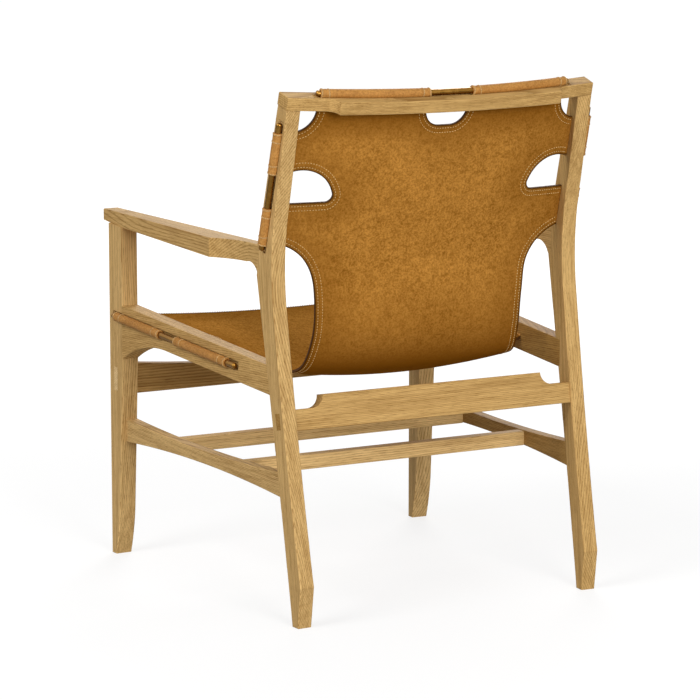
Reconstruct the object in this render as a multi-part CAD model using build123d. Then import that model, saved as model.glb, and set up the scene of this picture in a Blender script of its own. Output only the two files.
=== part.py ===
from build123d import *

import math
import os

# An easy chair: an oak frame with splayed side frames, and one leather sheet slung in it. The sheet's tabs
# pass through slots in the frame and close as sewn loops round metal rods. Millimetres, Z up, and the
# chair's front faces -Y. Depths are measured from a datum line across the floor below the hips, and the
# finished chair is moved so that its origin lies on the floor under its middle.

overall_height = 838.0
datum_width = 562.2
splay_angle = 3.04
back_angle = 15.4
seat_angle = 3.47
joint_gap = 0.1
overrun = 60.0
wood_arris = 1.6

# Rear legs: heights and depths of the back edge, then of the front edge. The hip's height is a share of
# the rise from the thigh to the shoulder. Above the shoulder the edges are given as distances behind and
# ahead of the back rods' line.
rear_leg_thickness = 25.0
heel_height = 66.0
calf_height = 290.0
thigh_height = 500.0
hip_share = 0.306
shoulder_height = 670.0
rear_foot_back = 104.0
heel_back = 113.0
calf_back = 67.5
thigh_back = 31.5
hip_back = 27.8
shoulder_behind = 19.2
leg_top_behind = 10.4
rear_foot_depth = 17.0
calf_front = 32.0
knuckle_height = 543.0
knuckle_front = -20.0
neck_height = 655.0
neck_ahead = 19.2
leg_top_ahead = 17.6

# Front legs: the front face is straight, and the rear face tapers to the foot.
front_leg_thickness = 30.0
front_leg_front = -516.5
front_leg_depth = 46.5
front_taper_height = 343.0
front_ankle_height = 97.0
front_ankle_depth = 32.0
front_instep_height = 44.0
front_instep_depth = 26.0
front_foot_depth = 14.5

# Rods and the leather that closes round them. The loops' spans are shares of their rod's length.
rod_diameter = 10.0
rod_proud = 3.0
rod_dome = 3.5
leather_thickness = 4.0
loop_wall = 2.2
loop_gap = 0.2
slot_gap = 0.75
edge_gap = 0.3
channel_gap = 0.3
channel_end = 4.0
binding_width = 1.8
binding_height = 0.8
binding_inset = 1.5

back_rod_depth = 1.8
back_rod_height = 586.4
back_rod_below_crest = 49.7
back_loop_shares = ((0.0407, 0.3341), (0.6010, 0.9243))
back_binding_pitch = 13.5

seat_rod_front = -498.0
seat_rod_height = 415.6
seat_rod_length = 416.8
seat_loop_shares = ((0.0288, 0.4014), (0.5312, 0.9350))
seat_binding_pitch = 20.0

crest_rod_half = 228.5
crest_rod_end = 27.5
crest_rod_middle = 48.9
crest_rod_rise = 4.5
crest_loop_near = 38.0
crest_loop_inset = 6.5
crest_binding_pitch = 12.0

# Seat rails: parallel to the seat rods, with a haunch at the front.
rail_above_rod = 21.0
rail_below_rod = 25.5
haunch_drop = 45.0
haunch_length = 147.0
haunch_via_share = 0.25
side_tenon_thickness = 11.0
side_tenon_length = 22.0
rail_tenon_height = 34.0
rail_tenon_drop = 9.0

# Side stretchers, dished above and arched below, and the two cross stretchers between them.
stretcher_height = 218.5
stretcher_thickness = 20.0
stretcher_front_inset = 9.5
stretcher_rear_inset = 4.5
stretcher_end_depth = 42.0
stretcher_middle_depth = 21.5
stretcher_crown_share = 0.05
stretcher_tenon_height = 22.0
cross_thickness = 20.0
cross_depth = 24.0
cross_front = -322.0
cross_rear = -105.0
cross_tenon_height = 14.0
cross_tenon_thickness = 10.0
cross_tenon_length = 12.0

# Rear rail, square to the rear legs, with a scoop at each end of its top edge.
rear_rail_height = 330.0
rear_rail_depth = 43.5
rear_rail_lean = 11.4
rear_rail_width = 54.0
rear_rail_thickness = 23.0
rear_scoop_start = 201.0
rear_scoop = 20.0
rear_tenon_thickness = 13.0
rear_tenon_height = 26.0

# Front rail, with a shallow hollow along its top edge.
front_rail_depth = -495.0
front_rail_thickness = 21.0
front_rail_bottom = 280.0
front_rail_top = 333.0
front_rail_hollow = 15.0
front_rail_chamfer = 1.2
front_tenon_thickness = 12.5
front_tenon_height = 40.0

# Arms: level on top, thicker towards the rear, and drawn in to a neck that meets the rear leg.
arm_height = 592.0
arm_nose = -546.0
arm_nose_outer = 303.8
arm_nose_inner = 276.2
arm_hip = -130.5
arm_hip_outer = 309.9
arm_hip_inner = 259.6
arm_neck = -50.0
arm_neck_outer = 279.0
arm_neck_inner = 256.6
arm_neck_via = (292.3, -103.0)
arm_nose_thickness = 19.0
arm_front_thickness = 24.0
arm_front = -470.0
arm_rear_thickness = 31.0
arm_fillet_start = -58.0
arm_fillet_via = (-31.0, 556.5)
arm_arris = 2.0
arm_tenon_thickness = 10.0
arm_tenon_height = 18.0
leg_tenon_width = 20.0
leg_tenon_depth = 27.0
leg_tenon_inset = 8.0
leg_tenon_front = 19.0

# Crest rail: lies at the back's lean, bowed to the rear, and deeper between the legs.
crest_ahead = 20.3
crest_thickness = 21.0
crest_end_depth = 30.5
crest_front_bow = 26.5
crest_rear_bow = 28.0
crest_middle_depth = 72.5
crest_step = 200.0
crest_scoop = 20.0
crest_tenon_width = 12.0
crest_tenon_depth = 14.0
crest_tenon_height = 12.0

# The sling: sections square to its middle line, from the crest down to the seat's front edge. A section's
# angle is the sheet's turn from upright, and its bow is how far the sheet's edges stand out from its middle
# towards the sitter. The back's heights are shares of the rise from the back rods' lower ends to the crest,
# and the hips' of the rise from the seat rods to there. The depths are shares of the sling's depth.
sling_depth = 487.0
sling_back_shares = (1.0200, 0.7639, 0.5350, 0.3072, 0.0781)
sling_back_angles = (18.0, 16.2, 15.6, 15.4, 13.4)
sling_back_bows = (26.5, 23.8, 23.8, 23.4, 23.9)
sling_hip_shares = ((0.0448, 0.8059), (0.0361, 0.5103), (0.0170, 0.2180), (-0.0464, -0.0309), (-0.1589, -0.1355))
sling_hip_angles = (6.8, 5.0, 17.0, 50.0, 84.3)
sling_hip_bows = (28.0, 26.5, 28.0, 22.0, 26.0)
sling_seat_shares = (-0.2809, -0.4025, -0.5240, -0.6456, -0.7671, -0.8887, -1.0150)
sling_seat_angle = 96.8
sling_seat_bows = (33.3, 29.6, 26.2, 22.8, 19.4, 15.6, 11.4)

# Openings cut in the sling. The hip opening's heights are shares of the hips' rise.
crest_gap_half = 37.0
crest_gap_straight = 40.0
crest_gap_drop = 62.0
corner_gap_rise = 33.0
corner_via = (233.0, 9.0)
back_gap_inner = 177.5
back_gap_above = 2.7
back_gap_below = 5.5
back_gap_round = 11.0
back_gap_level = 247.0
back_gap_via = (197.0, 11.0)
hip_gap_turn = 192.5
hip_gap_turn_share = 0.630
hip_gap_via = 211.0
hip_gap_via_share = 0.901
hip_gap_lower_via = 190.3
hip_gap_lower_share = 0.3214
hip_gap_corner = 201.0
hip_gap_floor_share = -0.0667
hip_gap_depth = -46.0
hip_gap_rear_via = (214.0, -88.0)
seat_gap_depth = 50.0


def tangent(angle):
    return math.tan(math.radians(angle))


def sine(angle):
    return math.sin(math.radians(angle))


def cosine(angle):
    return math.cos(math.radians(angle))


def outline(start, *runs):
    """A closed face: each run is the end of a straight edge, or the (via, end) of an arc."""
    here = start
    edges = []
    for run in runs:
        if isinstance(run[0], tuple):
            via, end = run
            edges.append(ThreePointArc(here, via, end))
        else:
            end = run
            edges.append(Line(here, end))
        here = end
    if math.dist(here, start) > 0:
        edges.append(Line(here, start))
    return make_face(Curve() + edges)


def side_board(face, thickness, inset=0.0):
    """A board of the left side frame, cut to a side outline, its outer face set in by the inset."""
    return Pos(-inset, 0, 0) * extrude(Plane.YZ * face, amount=thickness, dir=(-1, 0, 0))


def block(x, y, z, sides):
    """A box between two values on each axis, each side moved out by sides."""
    size = [abs(b - a) + 2 * sides for a, b in (x, y, z)]
    middle = [(a + b) / 2 for a, b in (x, y, z)]
    return Pos(*middle) * Box(*size)


def half_width(depth, inset):
    """Half the chair's width at a depth, from the side frames' outer faces set in by the inset."""
    return datum_width / 2 - depth * tangent(splay_angle) - inset / cosine(splay_angle)


def between_sides(inset):
    """The whole space between the side frames' outer faces, each set in by the inset."""
    near = -overall_height
    far = overall_height
    corners = (
        (half_width(near, inset), near),
        (half_width(far, inset), far),
        (-half_width(far, inset), far),
        (-half_width(near, inset), near),
    )
    return Pos(0, 0, -overrun) * extrude(make_face(Polyline(*corners, close=True)), amount=2 * overall_height)


side_place = Pos(datum_width / 2, 0, 0) * Rot(0, 0, splay_angle)


def in_side_frame(solid):
    """Put a piece that is drawn on the datum into the left side frame's splayed place."""
    return side_place * solid


# Rods, their channels, and the leather loops, drawn along +Z with the loop's tongue towards -X.

back_rod_length = (overall_height - back_rod_height) / cosine(back_angle) - back_rod_below_crest
crest_loop_far = crest_rod_half - crest_loop_inset
loop_bore = rod_diameter / 2 + loop_gap
loop_radius = loop_bore + loop_wall
channel_radius = loop_radius + binding_height + channel_gap


def spans(shares, length):
    """Where the loops start and end along a rod of this length."""
    return [(start * length, end * length) for start, end in shares]


back_loops = spans(back_loop_shares, back_rod_length)
seat_loops = spans(seat_loop_shares, seat_rod_length)


def rod(length):
    """A bar with domed ends."""
    bar = Pos(0, 0, length / 2) * Cylinder(rod_diameter / 2, length)
    return fillet(bar.edges().filter_by(GeomType.CIRCLE), rod_dome)


def channel(length):
    """The hollow that a rod and its loops lie in."""
    return Pos(0, 0, length / 2) * Cylinder(channel_radius, length + 2 * channel_end)


def loop(start, end, reach):
    """A sewn leather loop, from start to end along the rod, with a tongue that reaches into the frame."""
    length = end - start
    sleeve = Cylinder(loop_radius, length)
    tongue = Pos(-reach / 2, 0, 0) * Box(reach, leather_thickness, length)
    return Pos(0, 0, (start + end) / 2) * (sleeve + tongue - Cylinder(loop_bore, 2 * length))


def slot(start, end, reach):
    """The slot that a tongue passes through."""
    length = end - start + 2 * slot_gap
    width = leather_thickness + 2 * slot_gap
    return Pos(-reach / 2, 0, (start + end) / 2) * Box(reach, width, length)


def bindings(start, end, pitch):
    """The four rounds of thread that bind a loop's ends."""
    ring = Cylinder(loop_radius + binding_height, binding_width) - Cylinder(loop_radius, 2 * binding_width)
    tongue_way = leather_thickness + 2 * slot_gap
    ring = ring - Pos(-loop_radius, 0, 0) * Box(loop_radius, tongue_way, binding_width)
    first = start + binding_inset
    last = end - binding_inset
    return [Pos(0, 0, at) * ring for at in (first, first + pitch, last - pitch, last)]


back_rod_plane = Plane(
    origin=(rod_proud, back_rod_depth, back_rod_height),
    x_dir=(1, 0, 0),
    z_dir=(0, sine(back_angle), cosine(back_angle)),
)
seat_rod_plane = Plane(
    origin=(rod_proud, seat_rod_front, seat_rod_height),
    x_dir=(1, 0, 0),
    z_dir=(0, cosine(seat_angle), -sine(seat_angle)),
)


def back_line(height):
    """Depth of the back rods' axis, and of the sling's edge, at a height."""
    return back_rod_depth + (height - back_rod_height) * tangent(back_angle)


def seat_line(depth):
    """Height of the seat rods' axis, and of the sling's edge, at a depth."""
    return seat_rod_height - (depth - seat_rod_front) * tangent(seat_angle)


def back_height(along):
    """Height of a point along the back rods, from their lower ends."""
    return back_rod_height + along * cosine(back_angle)


# Crest: a plane through the front top edge, x across and y to the rear, and everything below its underside.

crest_front = back_line(overall_height) - crest_ahead
crest_plane = Plane(
    origin=(0, crest_front, overall_height),
    x_dir=(1, 0, 0),
    z_dir=(0, sine(back_angle), cosine(back_angle)),
)
crest_half = half_width(crest_front + crest_end_depth, 0)


def above_crest(rise):
    """Everything above a level of the crest's own plane."""
    size = 2 * overall_height
    return crest_plane * (Pos(0, 0, rise + overall_height) * Box(size, size, size))


def bow(offset_at_middle, rise, at):
    """Depth, at a distance from the middle, of a line that bows to the rear by the rise."""
    return offset_at_middle - rise * (at / crest_half) ** 2


def crest_blank():
    """The crest's shape before its joints are cut: a slim bowed board, and a deeper one between the legs."""
    wide = crest_half + overrun
    rear = crest_end_depth + crest_rear_bow
    scoop_end = crest_step + crest_scoop
    scoop_depth = bow(rear, crest_rear_bow, scoop_end)
    scoop_middle = crest_scoop * (1 - cosine(45))
    front_end = bow(crest_front_bow, crest_front_bow, wide)
    rear_end = bow(rear, crest_rear_bow, wide)
    slim = outline(
        (-wide, front_end),
        ((0, crest_front_bow), (wide, front_end)),
        (wide, rear_end),
        ((0, rear), (-wide, rear_end)),
    )
    deep = outline(
        (-scoop_end, rear / 2),
        (scoop_end, rear / 2),
        (scoop_end, scoop_depth),
        ((crest_step + scoop_middle, scoop_depth + scoop_middle), (crest_step, scoop_depth + crest_scoop)),
        ((0, crest_middle_depth), (-crest_step, scoop_depth + crest_scoop)),
        ((-crest_step - scoop_middle, scoop_depth + scoop_middle), (-scoop_end, scoop_depth)),
    )
    slim_board = crest_plane * extrude(slim, amount=crest_thickness, dir=(0, 0, -1)) & between_sides(0)
    deep_board = extrude(deep, amount=crest_thickness, dir=(0, 0, -1))
    slim_board = fillet(slim_board.edges(), wood_arris)
    deep_edges = deep_board.edges().filter_by(lambda edge: edge.center().Y > rear / 2 + wood_arris)
    return slim_board + crest_plane * fillet(deep_edges, wood_arris)


def crest_rod_point(across, rise=crest_rod_rise):
    """A point of the crest rod's axis, in the crest's own plane."""
    bend = crest_rod_middle - crest_rod_end
    return (across, crest_rod_middle - bend * (across / crest_rod_half) ** 2, rise)


def crest_arc(near, far):
    """The crest rod's line between two distances across the chair."""
    return ThreePointArc(crest_rod_point(near), crest_rod_point((near + far) / 2), crest_rod_point(far))


def along_crest(near, far, radius):
    """A round bar that follows the crest rod's line."""
    path = crest_arc(near, far)
    return sweep(Plane(origin=path @ 0, z_dir=path % 0) * Circle(radius), path=path)


def crest_rod():
    bar = along_crest(-crest_rod_half, crest_rod_half, rod_diameter / 2)
    return crest_plane * fillet(bar.edges().filter_by(GeomType.CIRCLE), rod_dome)


def crest_band(near, far, width, bottom):
    """An upright band under the crest rod's line, down to the bottom."""
    middle = (near + far) / 2
    edges = []
    for side in (width / 2, -width / 2):
        ends = [crest_rod_point(at, 0) for at in (near, middle, far)]
        edges.append([(x, y + side) for x, y, z in ends])
    face = outline(edges[0][0], (edges[0][1], edges[0][2]), edges[1][2], (edges[1][1], edges[1][0]))
    return Pos(0, 0, crest_rod_rise) * extrude(face, amount=crest_rod_rise - bottom, dir=(0, 0, -1))


# Wooden blanks.


def rear_leg_blank():
    top = overall_height
    foot_front = rear_foot_back - rear_foot_depth
    hip_height = thigh_height + hip_share * (shoulder_height - thigh_height)
    face = outline(
        (foot_front, 0),
        (rear_foot_back, 0),
        (heel_back, heel_height),
        ((calf_back, calf_height), (thigh_back, thigh_height)),
        ((hip_back, hip_height), (back_line(shoulder_height) + shoulder_behind, shoulder_height)),
        (back_line(top) + leg_top_behind, top),
        (back_line(top) - leg_top_ahead, top),
        (back_line(neck_height) - neck_ahead, neck_height),
        (knuckle_front, knuckle_height),
        ((calf_front, calf_height), (foot_front, 0)),
    )
    board = side_board(face, rear_leg_thickness)
    return fillet(board.edges().filter_by(Axis.X, reverse=True), wood_arris)


def front_leg_blank():
    front = front_leg_front
    face = outline(
        (front, 0),
        (front + front_foot_depth, 0),
        ((front + front_instep_depth, front_instep_height), (front + front_ankle_depth, front_ankle_height)),
        (front + front_leg_depth, front_taper_height),
        (front + front_leg_depth, arm_height),
        (front, arm_height),
    )
    board = side_board(face, front_leg_thickness)
    return fillet(board.edges().filter_by(Axis.X, reverse=True), wood_arris)


def arm_profile():
    """The arm seen from the side, which also shows where the front leg's shoulder ends."""
    neck_floor = arm_height - arm_rear_thickness
    return outline(
        (arm_nose - overrun, arm_height),
        (0, arm_height),
        (0, knuckle_height),
        (knuckle_front, knuckle_height),
        (arm_fillet_via, (arm_fillet_start, neck_floor)),
        (arm_hip, neck_floor),
        (arm_front, arm_height - arm_front_thickness),
        (arm_nose, arm_height - arm_nose_thickness),
        (arm_nose - overrun, arm_height - arm_nose_thickness),
    )


def arm_side():
    """The arm's side view, carried across the left half of the chair."""
    return extrude(Plane.YZ * arm_profile(), amount=datum_width)


def arm_blank():
    """The left arm's shape before its joints are cut, its corners eased."""
    plan = outline(
        (arm_nose_inner, arm_nose),
        (arm_nose_outer, arm_nose),
        (arm_hip_outer, arm_hip),
        (arm_neck_via, (arm_neck_outer, arm_neck)),
        (arm_neck_outer, 0),
        (arm_neck_inner, 0),
        (arm_neck_inner, arm_neck),
        (arm_hip_inner, arm_hip),
    )
    board = extrude(plan, amount=2 * arm_height)
    nose = board.edges().filter_by(Axis.Z).sort_by(Axis.Y)[:2]
    board = fillet(nose, arm_arris) & arm_side()
    top = board.faces().sort_by(Axis.Z)[-1]
    return fillet(top.edges().filter_by(lambda edge: edge.center().Y < arm_fillet_start), arm_arris)


def seat_rail_blank():
    front = front_leg_front + front_leg_depth / 2
    shoulder = front_leg_front + front_leg_depth
    rear = calf_front - rear_foot_depth / 2
    haunch_end = shoulder + haunch_length
    haunch_middle = (shoulder + haunch_end) / 2
    face = outline(
        (front, seat_line(front) + rail_above_rod),
        (rear, seat_line(rear) + rail_above_rod),
        (rear, seat_line(rear) - rail_below_rod),
        (haunch_end, seat_line(haunch_end) - rail_below_rod),
        (
            (haunch_middle, seat_line(haunch_middle) - rail_below_rod - haunch_via_share * haunch_drop),
            (shoulder, seat_line(shoulder) - rail_below_rod - haunch_drop),
        ),
        (front, seat_line(shoulder) - rail_below_rod - haunch_drop),
    )
    board = side_board(face, front_leg_thickness)
    plan = outline(
        (0, front),
        (0, rear),
        (-rear_leg_thickness, rear),
        (-front_leg_thickness, shoulder),
        (-front_leg_thickness, front),
    )
    board = board & extrude(plan, amount=2 * overall_height)
    return fillet(board.edges().filter_by(Axis.X, reverse=True).filter_by(Axis.Z, reverse=True), wood_arris)


def side_stretcher_blank():
    front = front_leg_front + front_leg_depth / 2
    rear = leg_middle(stretcher_height)
    middle = (front + rear) / 2
    top = stretcher_height + stretcher_end_depth / 2
    bottom = stretcher_height - stretcher_end_depth / 2
    crown = stretcher_height + stretcher_crown_share * stretcher_middle_depth
    face = outline(
        (front, bottom),
        ((middle, crown - stretcher_middle_depth / 2), (rear, bottom)),
        (rear, top),
        ((middle, crown + stretcher_middle_depth / 2), (front, top)),
    )
    board = side_board(face, front_leg_thickness)
    plan = outline(
        (-stretcher_front_inset, front),
        (-stretcher_rear_inset, rear),
        (-stretcher_rear_inset - stretcher_thickness, rear),
        (-stretcher_front_inset - stretcher_thickness, front),
    )
    board = board & extrude(plan, amount=2 * overall_height)
    return fillet(board.edges().filter_by(Axis.X, reverse=True).filter_by(Axis.Z, reverse=True), wood_arris)


# Joints within a side frame, each a box from its front to its back, drawn on the datum.


def leg_middle(height):
    """Depth of the rear leg's centre line, below the seat."""
    foot = rear_foot_back - rear_foot_depth / 2
    calf = (calf_back + calf_front) / 2
    return foot + (calf - foot) * height / calf_height


def rear_leg_front(height):
    """Depth of the rear leg's front edge, between the calf and the arm."""
    return calf_front + (knuckle_front - calf_front) * (height - calf_height) / (knuckle_height - calf_height)


def tenon(inset, width, depth, half_length, height, half_height):
    """A tenon through a shoulder at a depth and height, its cheek set in from the outer face."""
    across = (-inset - width, -inset)
    return across, (depth - half_length, depth + half_length), (height - half_height, height + half_height)


front_leg_back = front_leg_front + front_leg_depth
rail_inset = (rear_leg_thickness - side_tenon_thickness) / 2
stretcher_shoulder = leg_middle(stretcher_height) - rear_foot_depth
front_stretcher_inset = stretcher_front_inset + (stretcher_thickness - side_tenon_thickness) / 2
rear_stretcher_inset = stretcher_rear_inset + (stretcher_thickness - side_tenon_thickness) / 2

rail_front_tenon = tenon(
    rail_inset,
    side_tenon_thickness,
    front_leg_back,
    side_tenon_length,
    seat_line(front_leg_back) - rail_tenon_drop - rail_tenon_height / 2,
    rail_tenon_height / 2,
)
rail_rear_tenon = tenon(
    rail_inset,
    side_tenon_thickness,
    rear_leg_front(seat_line(0)),
    side_tenon_length,
    seat_line(0) + (rail_above_rod - rail_below_rod) / 2,
    rail_tenon_height / 2,
)
stretcher_front_tenon = tenon(
    front_stretcher_inset,
    side_tenon_thickness,
    front_leg_back - rail_tenon_drop,
    side_tenon_length,
    stretcher_height,
    stretcher_tenon_height / 2,
)
stretcher_rear_tenon = tenon(
    rear_stretcher_inset,
    side_tenon_thickness,
    stretcher_shoulder,
    side_tenon_length,
    stretcher_height,
    stretcher_tenon_height / 2,
)
arm_rear_tenon = tenon(
    (rear_leg_thickness - arm_tenon_thickness) / 2,
    arm_tenon_thickness,
    knuckle_front,
    side_tenon_length,
    arm_height - arm_rear_thickness / 2,
    arm_tenon_height / 2,
)
leg_top_tenon = tenon(
    leg_tenon_inset,
    leg_tenon_width,
    front_leg_front + leg_tenon_front + leg_tenon_depth / 2,
    leg_tenon_depth / 2,
    arm_height - arm_front_thickness,
    arm_front_thickness,
)


def rear_leg():
    """The left rear leg, with its channel, slots and mortises."""
    board = rear_leg_blank()
    for joint in (rail_rear_tenon, stretcher_rear_tenon, arm_rear_tenon):
        board = board - block(*joint, joint_gap)
    board = board - back_rod_plane * channel(back_rod_length)
    for start, end in back_loops:
        board = board - back_rod_plane * slot(start, end, rear_leg_thickness + overrun)
    board = in_side_frame(board) - above_crest(-crest_thickness) - rear_mortise
    return board + crest_stub(1, 0)


def front_leg():
    """The left front leg, with its channel, slot, mortises and the tenon that shows on top of the arm."""
    board = front_leg_blank()
    for joint in (rail_front_tenon, stretcher_front_tenon):
        board = board - block(*joint, joint_gap)
    board = board - seat_rod_plane * channel(seat_rod_length)
    board = board - seat_rod_plane * slot(*seat_loops[0], front_leg_thickness + overrun)
    board = in_side_frame(board) - front_mortise - arm_side()
    return board + in_side_frame(block(*leg_top_tenon, 0))


def arm():
    """The left arm, its neck scribed to the rear leg."""
    board = arm_blank() - in_side_frame(rear_leg_blank())
    board = board - in_side_frame(block(*leg_top_tenon, joint_gap))
    return board + in_side_frame(block(*arm_rear_tenon, 0))


def seat_rail():
    """The left seat rail, flush between the legs, with its channel and slots."""
    board = seat_rail_blank() - rear_leg_blank() - front_leg_blank()
    for joint in (rail_front_tenon, rail_rear_tenon):
        board = board + block(*joint, 0)
    board = board - seat_rod_plane * channel(seat_rod_length)
    for start, end in seat_loops:
        board = board - seat_rod_plane * slot(start, end, front_leg_thickness + overrun)
    return in_side_frame(board)


def side_stretcher():
    """The left side stretcher, with mortises for the cross stretchers."""
    board = side_stretcher_blank() - rear_leg_blank() - front_leg_blank()
    for joint in (stretcher_front_tenon, stretcher_rear_tenon):
        board = board + block(*joint, 0)
    board = in_side_frame(board)
    for depth in (cross_front, cross_rear):
        board = board - cross_tenon(depth, joint_gap)
    return board


# Cross members: each is its section between the legs' inner faces, with tenons into or through them.

rear_rail_plane = Plane(
    origin=(0, rear_rail_depth, rear_rail_height),
    x_dir=(1, 0, 0),
    z_dir=(0, -cosine(rear_rail_lean), -sine(rear_rail_lean)),
)
rear_rail_end = rear_rail_width / 2 - rear_scoop
rear_tenon = rear_rail_plane * (
    Pos(0, (rear_rail_end - rear_rail_width / 2) / 2, 0)
    * Box(2 * datum_width, rear_tenon_height, rear_tenon_thickness)
)
rear_mortise = rear_rail_plane * (
    Pos(0, (rear_rail_end - rear_rail_width / 2) / 2, 0)
    * Box(2 * datum_width, rear_tenon_height + 2 * joint_gap, rear_tenon_thickness + 2 * joint_gap)
)
front_tenon_middle = (front_rail_bottom + front_rail_top) / 2
front_tenon = Pos(0, front_rail_depth, front_tenon_middle) * Box(
    2 * datum_width, front_tenon_thickness, front_tenon_height
)
front_mortise = Pos(0, front_rail_depth, front_tenon_middle) * Box(
    2 * datum_width, front_tenon_thickness + 2 * joint_gap, front_tenon_height + 2 * joint_gap
)


def tenon_ends(bar, inset):
    """The ends of a bar that run through the side frames, past their inner faces set in by the inset."""
    return (bar & between_sides(0)) - between_sides(inset)


def rear_rail():
    wide = datum_width / 2
    low = -rear_rail_width / 2
    high = rear_rail_width / 2
    scoop_end = rear_scoop_start + rear_scoop
    dip = rear_scoop * (1 - cosine(45))
    face = outline(
        (-wide, low),
        (wide, low),
        (wide, rear_rail_end),
        (scoop_end, rear_rail_end),
        ((rear_scoop_start + dip, rear_rail_end + dip), (rear_scoop_start, high)),
        (-rear_scoop_start, high),
        ((-rear_scoop_start - dip, rear_rail_end + dip), (-scoop_end, rear_rail_end)),
        (-wide, rear_rail_end),
    )
    board = Pos(0, 0, -rear_rail_thickness / 2) * extrude(face, amount=rear_rail_thickness)
    board = fillet(board.edges().filter_by(Axis.Z, reverse=True), wood_arris)
    board = rear_rail_plane * board & between_sides(rear_leg_thickness)
    return board + tenon_ends(rear_tenon, rear_leg_thickness)


def front_rail():
    wide = datum_width / 2
    face = outline(
        (-wide, front_rail_bottom),
        (wide, front_rail_bottom),
        (wide, front_rail_top),
        ((0, front_rail_top - front_rail_hollow), (-wide, front_rail_top)),
    )
    board = extrude(Plane.XZ * face, amount=front_rail_thickness)
    board = Pos(0, front_rail_depth + front_rail_thickness / 2, 0) * board
    board = chamfer(board.edges().filter_by(GeomType.CIRCLE), front_rail_chamfer)
    board = fillet(board.edges().filter_by(Axis.X), wood_arris)
    board = board & between_sides(front_leg_thickness)
    return board + tenon_ends(front_tenon, front_leg_thickness)


def cross_inset(depth):
    """How far the side stretchers' inner faces are set in at a depth."""
    run = leg_middle(stretcher_height) - (front_leg_front + front_leg_depth / 2)
    share = (depth - front_leg_front - front_leg_depth / 2) / run
    return stretcher_thickness + stretcher_front_inset + share * (stretcher_rear_inset - stretcher_front_inset)


def cross_tenon(depth, extra):
    """The tenons of a cross stretcher; the mortises are larger by the extra."""
    bar = block(
        (-datum_width, datum_width),
        (depth - cross_tenon_thickness / 2, depth + cross_tenon_thickness / 2),
        (stretcher_height - cross_tenon_height / 2, stretcher_height + cross_tenon_height / 2),
        extra,
    )
    return bar & between_sides(cross_inset(depth) - cross_tenon_length - extra)


def cross_stretcher(depth):
    bar = Pos(0, depth, stretcher_height) * Box(2 * datum_width, cross_thickness, cross_depth)
    bar = fillet(bar.edges().filter_by(Axis.X), wood_arris) & between_stretchers()
    return bar + cross_tenon(depth, 0)


def between_stretchers():
    """The space between the side stretchers' inner faces."""
    ends = (front_leg_front, leg_middle(stretcher_height))
    corners = [(half_width(y, cross_inset(y)), y) for y in ends]
    corners += [(-x, y) for x, y in reversed(corners)]
    return extrude(make_face(Polyline(*corners, close=True)), amount=overall_height)


# Joints between the crest and the rear legs' tops.

crest_joint_depth = crest_end_depth / 2


def crest_stub(side, extra):
    """The stub tenon on a rear leg's top, in the crest's plane; the mortise is larger by the extra."""
    across = side * (half_width(crest_front + crest_joint_depth, 0) - rear_leg_thickness / 2)
    size = (crest_tenon_width + 2 * extra, crest_tenon_depth + 2 * extra, 2 * crest_tenon_height)
    return crest_plane * (Pos(across, crest_joint_depth, -crest_thickness) * Box(*size))


def crest_rail():
    board = crest_blank()
    cuts = [crest_plane * along_crest(-crest_rod_half - channel_end, crest_rod_half + channel_end, channel_radius)]
    for side in (1, -1):
        near = side * (crest_loop_near - slot_gap)
        far = side * (crest_loop_far + slot_gap)
        cuts.append(crest_plane * crest_band(near, far, leather_thickness + 2 * slot_gap, -2 * crest_thickness))
        cuts.append(crest_stub(side, joint_gap))
    for cut in cuts:
        board = board - cut
    return board


def crest_loop(side):
    near = side * crest_loop_near
    far = side * crest_loop_far
    sleeve = along_crest(near, far, loop_radius)
    tongue = crest_band(near, far, leather_thickness, -crest_thickness - edge_gap)
    hollow = along_crest(near - side * binding_inset, far + side * binding_inset, loop_bore)
    return crest_plane * (sleeve + tongue - hollow)


def crest_bindings(side):
    """Rounds of thread on a crest loop, each square to the rod."""
    bore = Cylinder(loop_radius + joint_gap / 2, 2 * binding_width)
    ring = Cylinder(loop_radius + binding_height, binding_width) - bore
    way = Pos(0, -loop_radius, 0) * Box(leather_thickness + 2 * slot_gap, loop_radius, binding_width)
    rings = []
    first = crest_loop_near + binding_inset
    last = crest_loop_far - binding_inset
    for at in (first, first + crest_binding_pitch, last - crest_binding_pitch, last):
        bend = crest_rod_middle - crest_rod_end
        slope = -2 * bend * side * at / crest_rod_half**2
        place = Plane(origin=crest_rod_point(side * at), x_dir=(-slope, 1, 0), z_dir=(1, slope, 0))
        rings.append(crest_plane * (place * (ring - way)))
    return rings


# The sling.


def rail_inset_at(depth):
    """Thickness of the side frame at a depth: it thins from the front leg to the rear leg."""
    rear = calf_front - rear_foot_depth / 2
    share = (rear - depth) / (rear - front_leg_back)
    share = min(max(share, 0), 1)
    return rear_leg_thickness + share * (front_leg_thickness - rear_leg_thickness)


def between_inner_faces(gap):
    """The space between the side frames' inner faces, each drawn in by the gap."""
    near = -overall_height
    far = overall_height
    stations = (near, front_leg_back, calf_front - rear_foot_depth / 2, far)
    corners = [(half_width(y, rail_inset_at(y) + gap), y) for y in stations]
    corners += [(-x, y) for x, y in reversed(corners)]
    return extrude(make_face(Polyline(*corners, close=True)), amount=2 * overall_height)


hip_rise = back_rod_height - seat_line(0)


def hip_height_at(share):
    """Height of a share of the rise from the seat rods to the back rods."""
    return seat_line(0) + share * hip_rise


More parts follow.
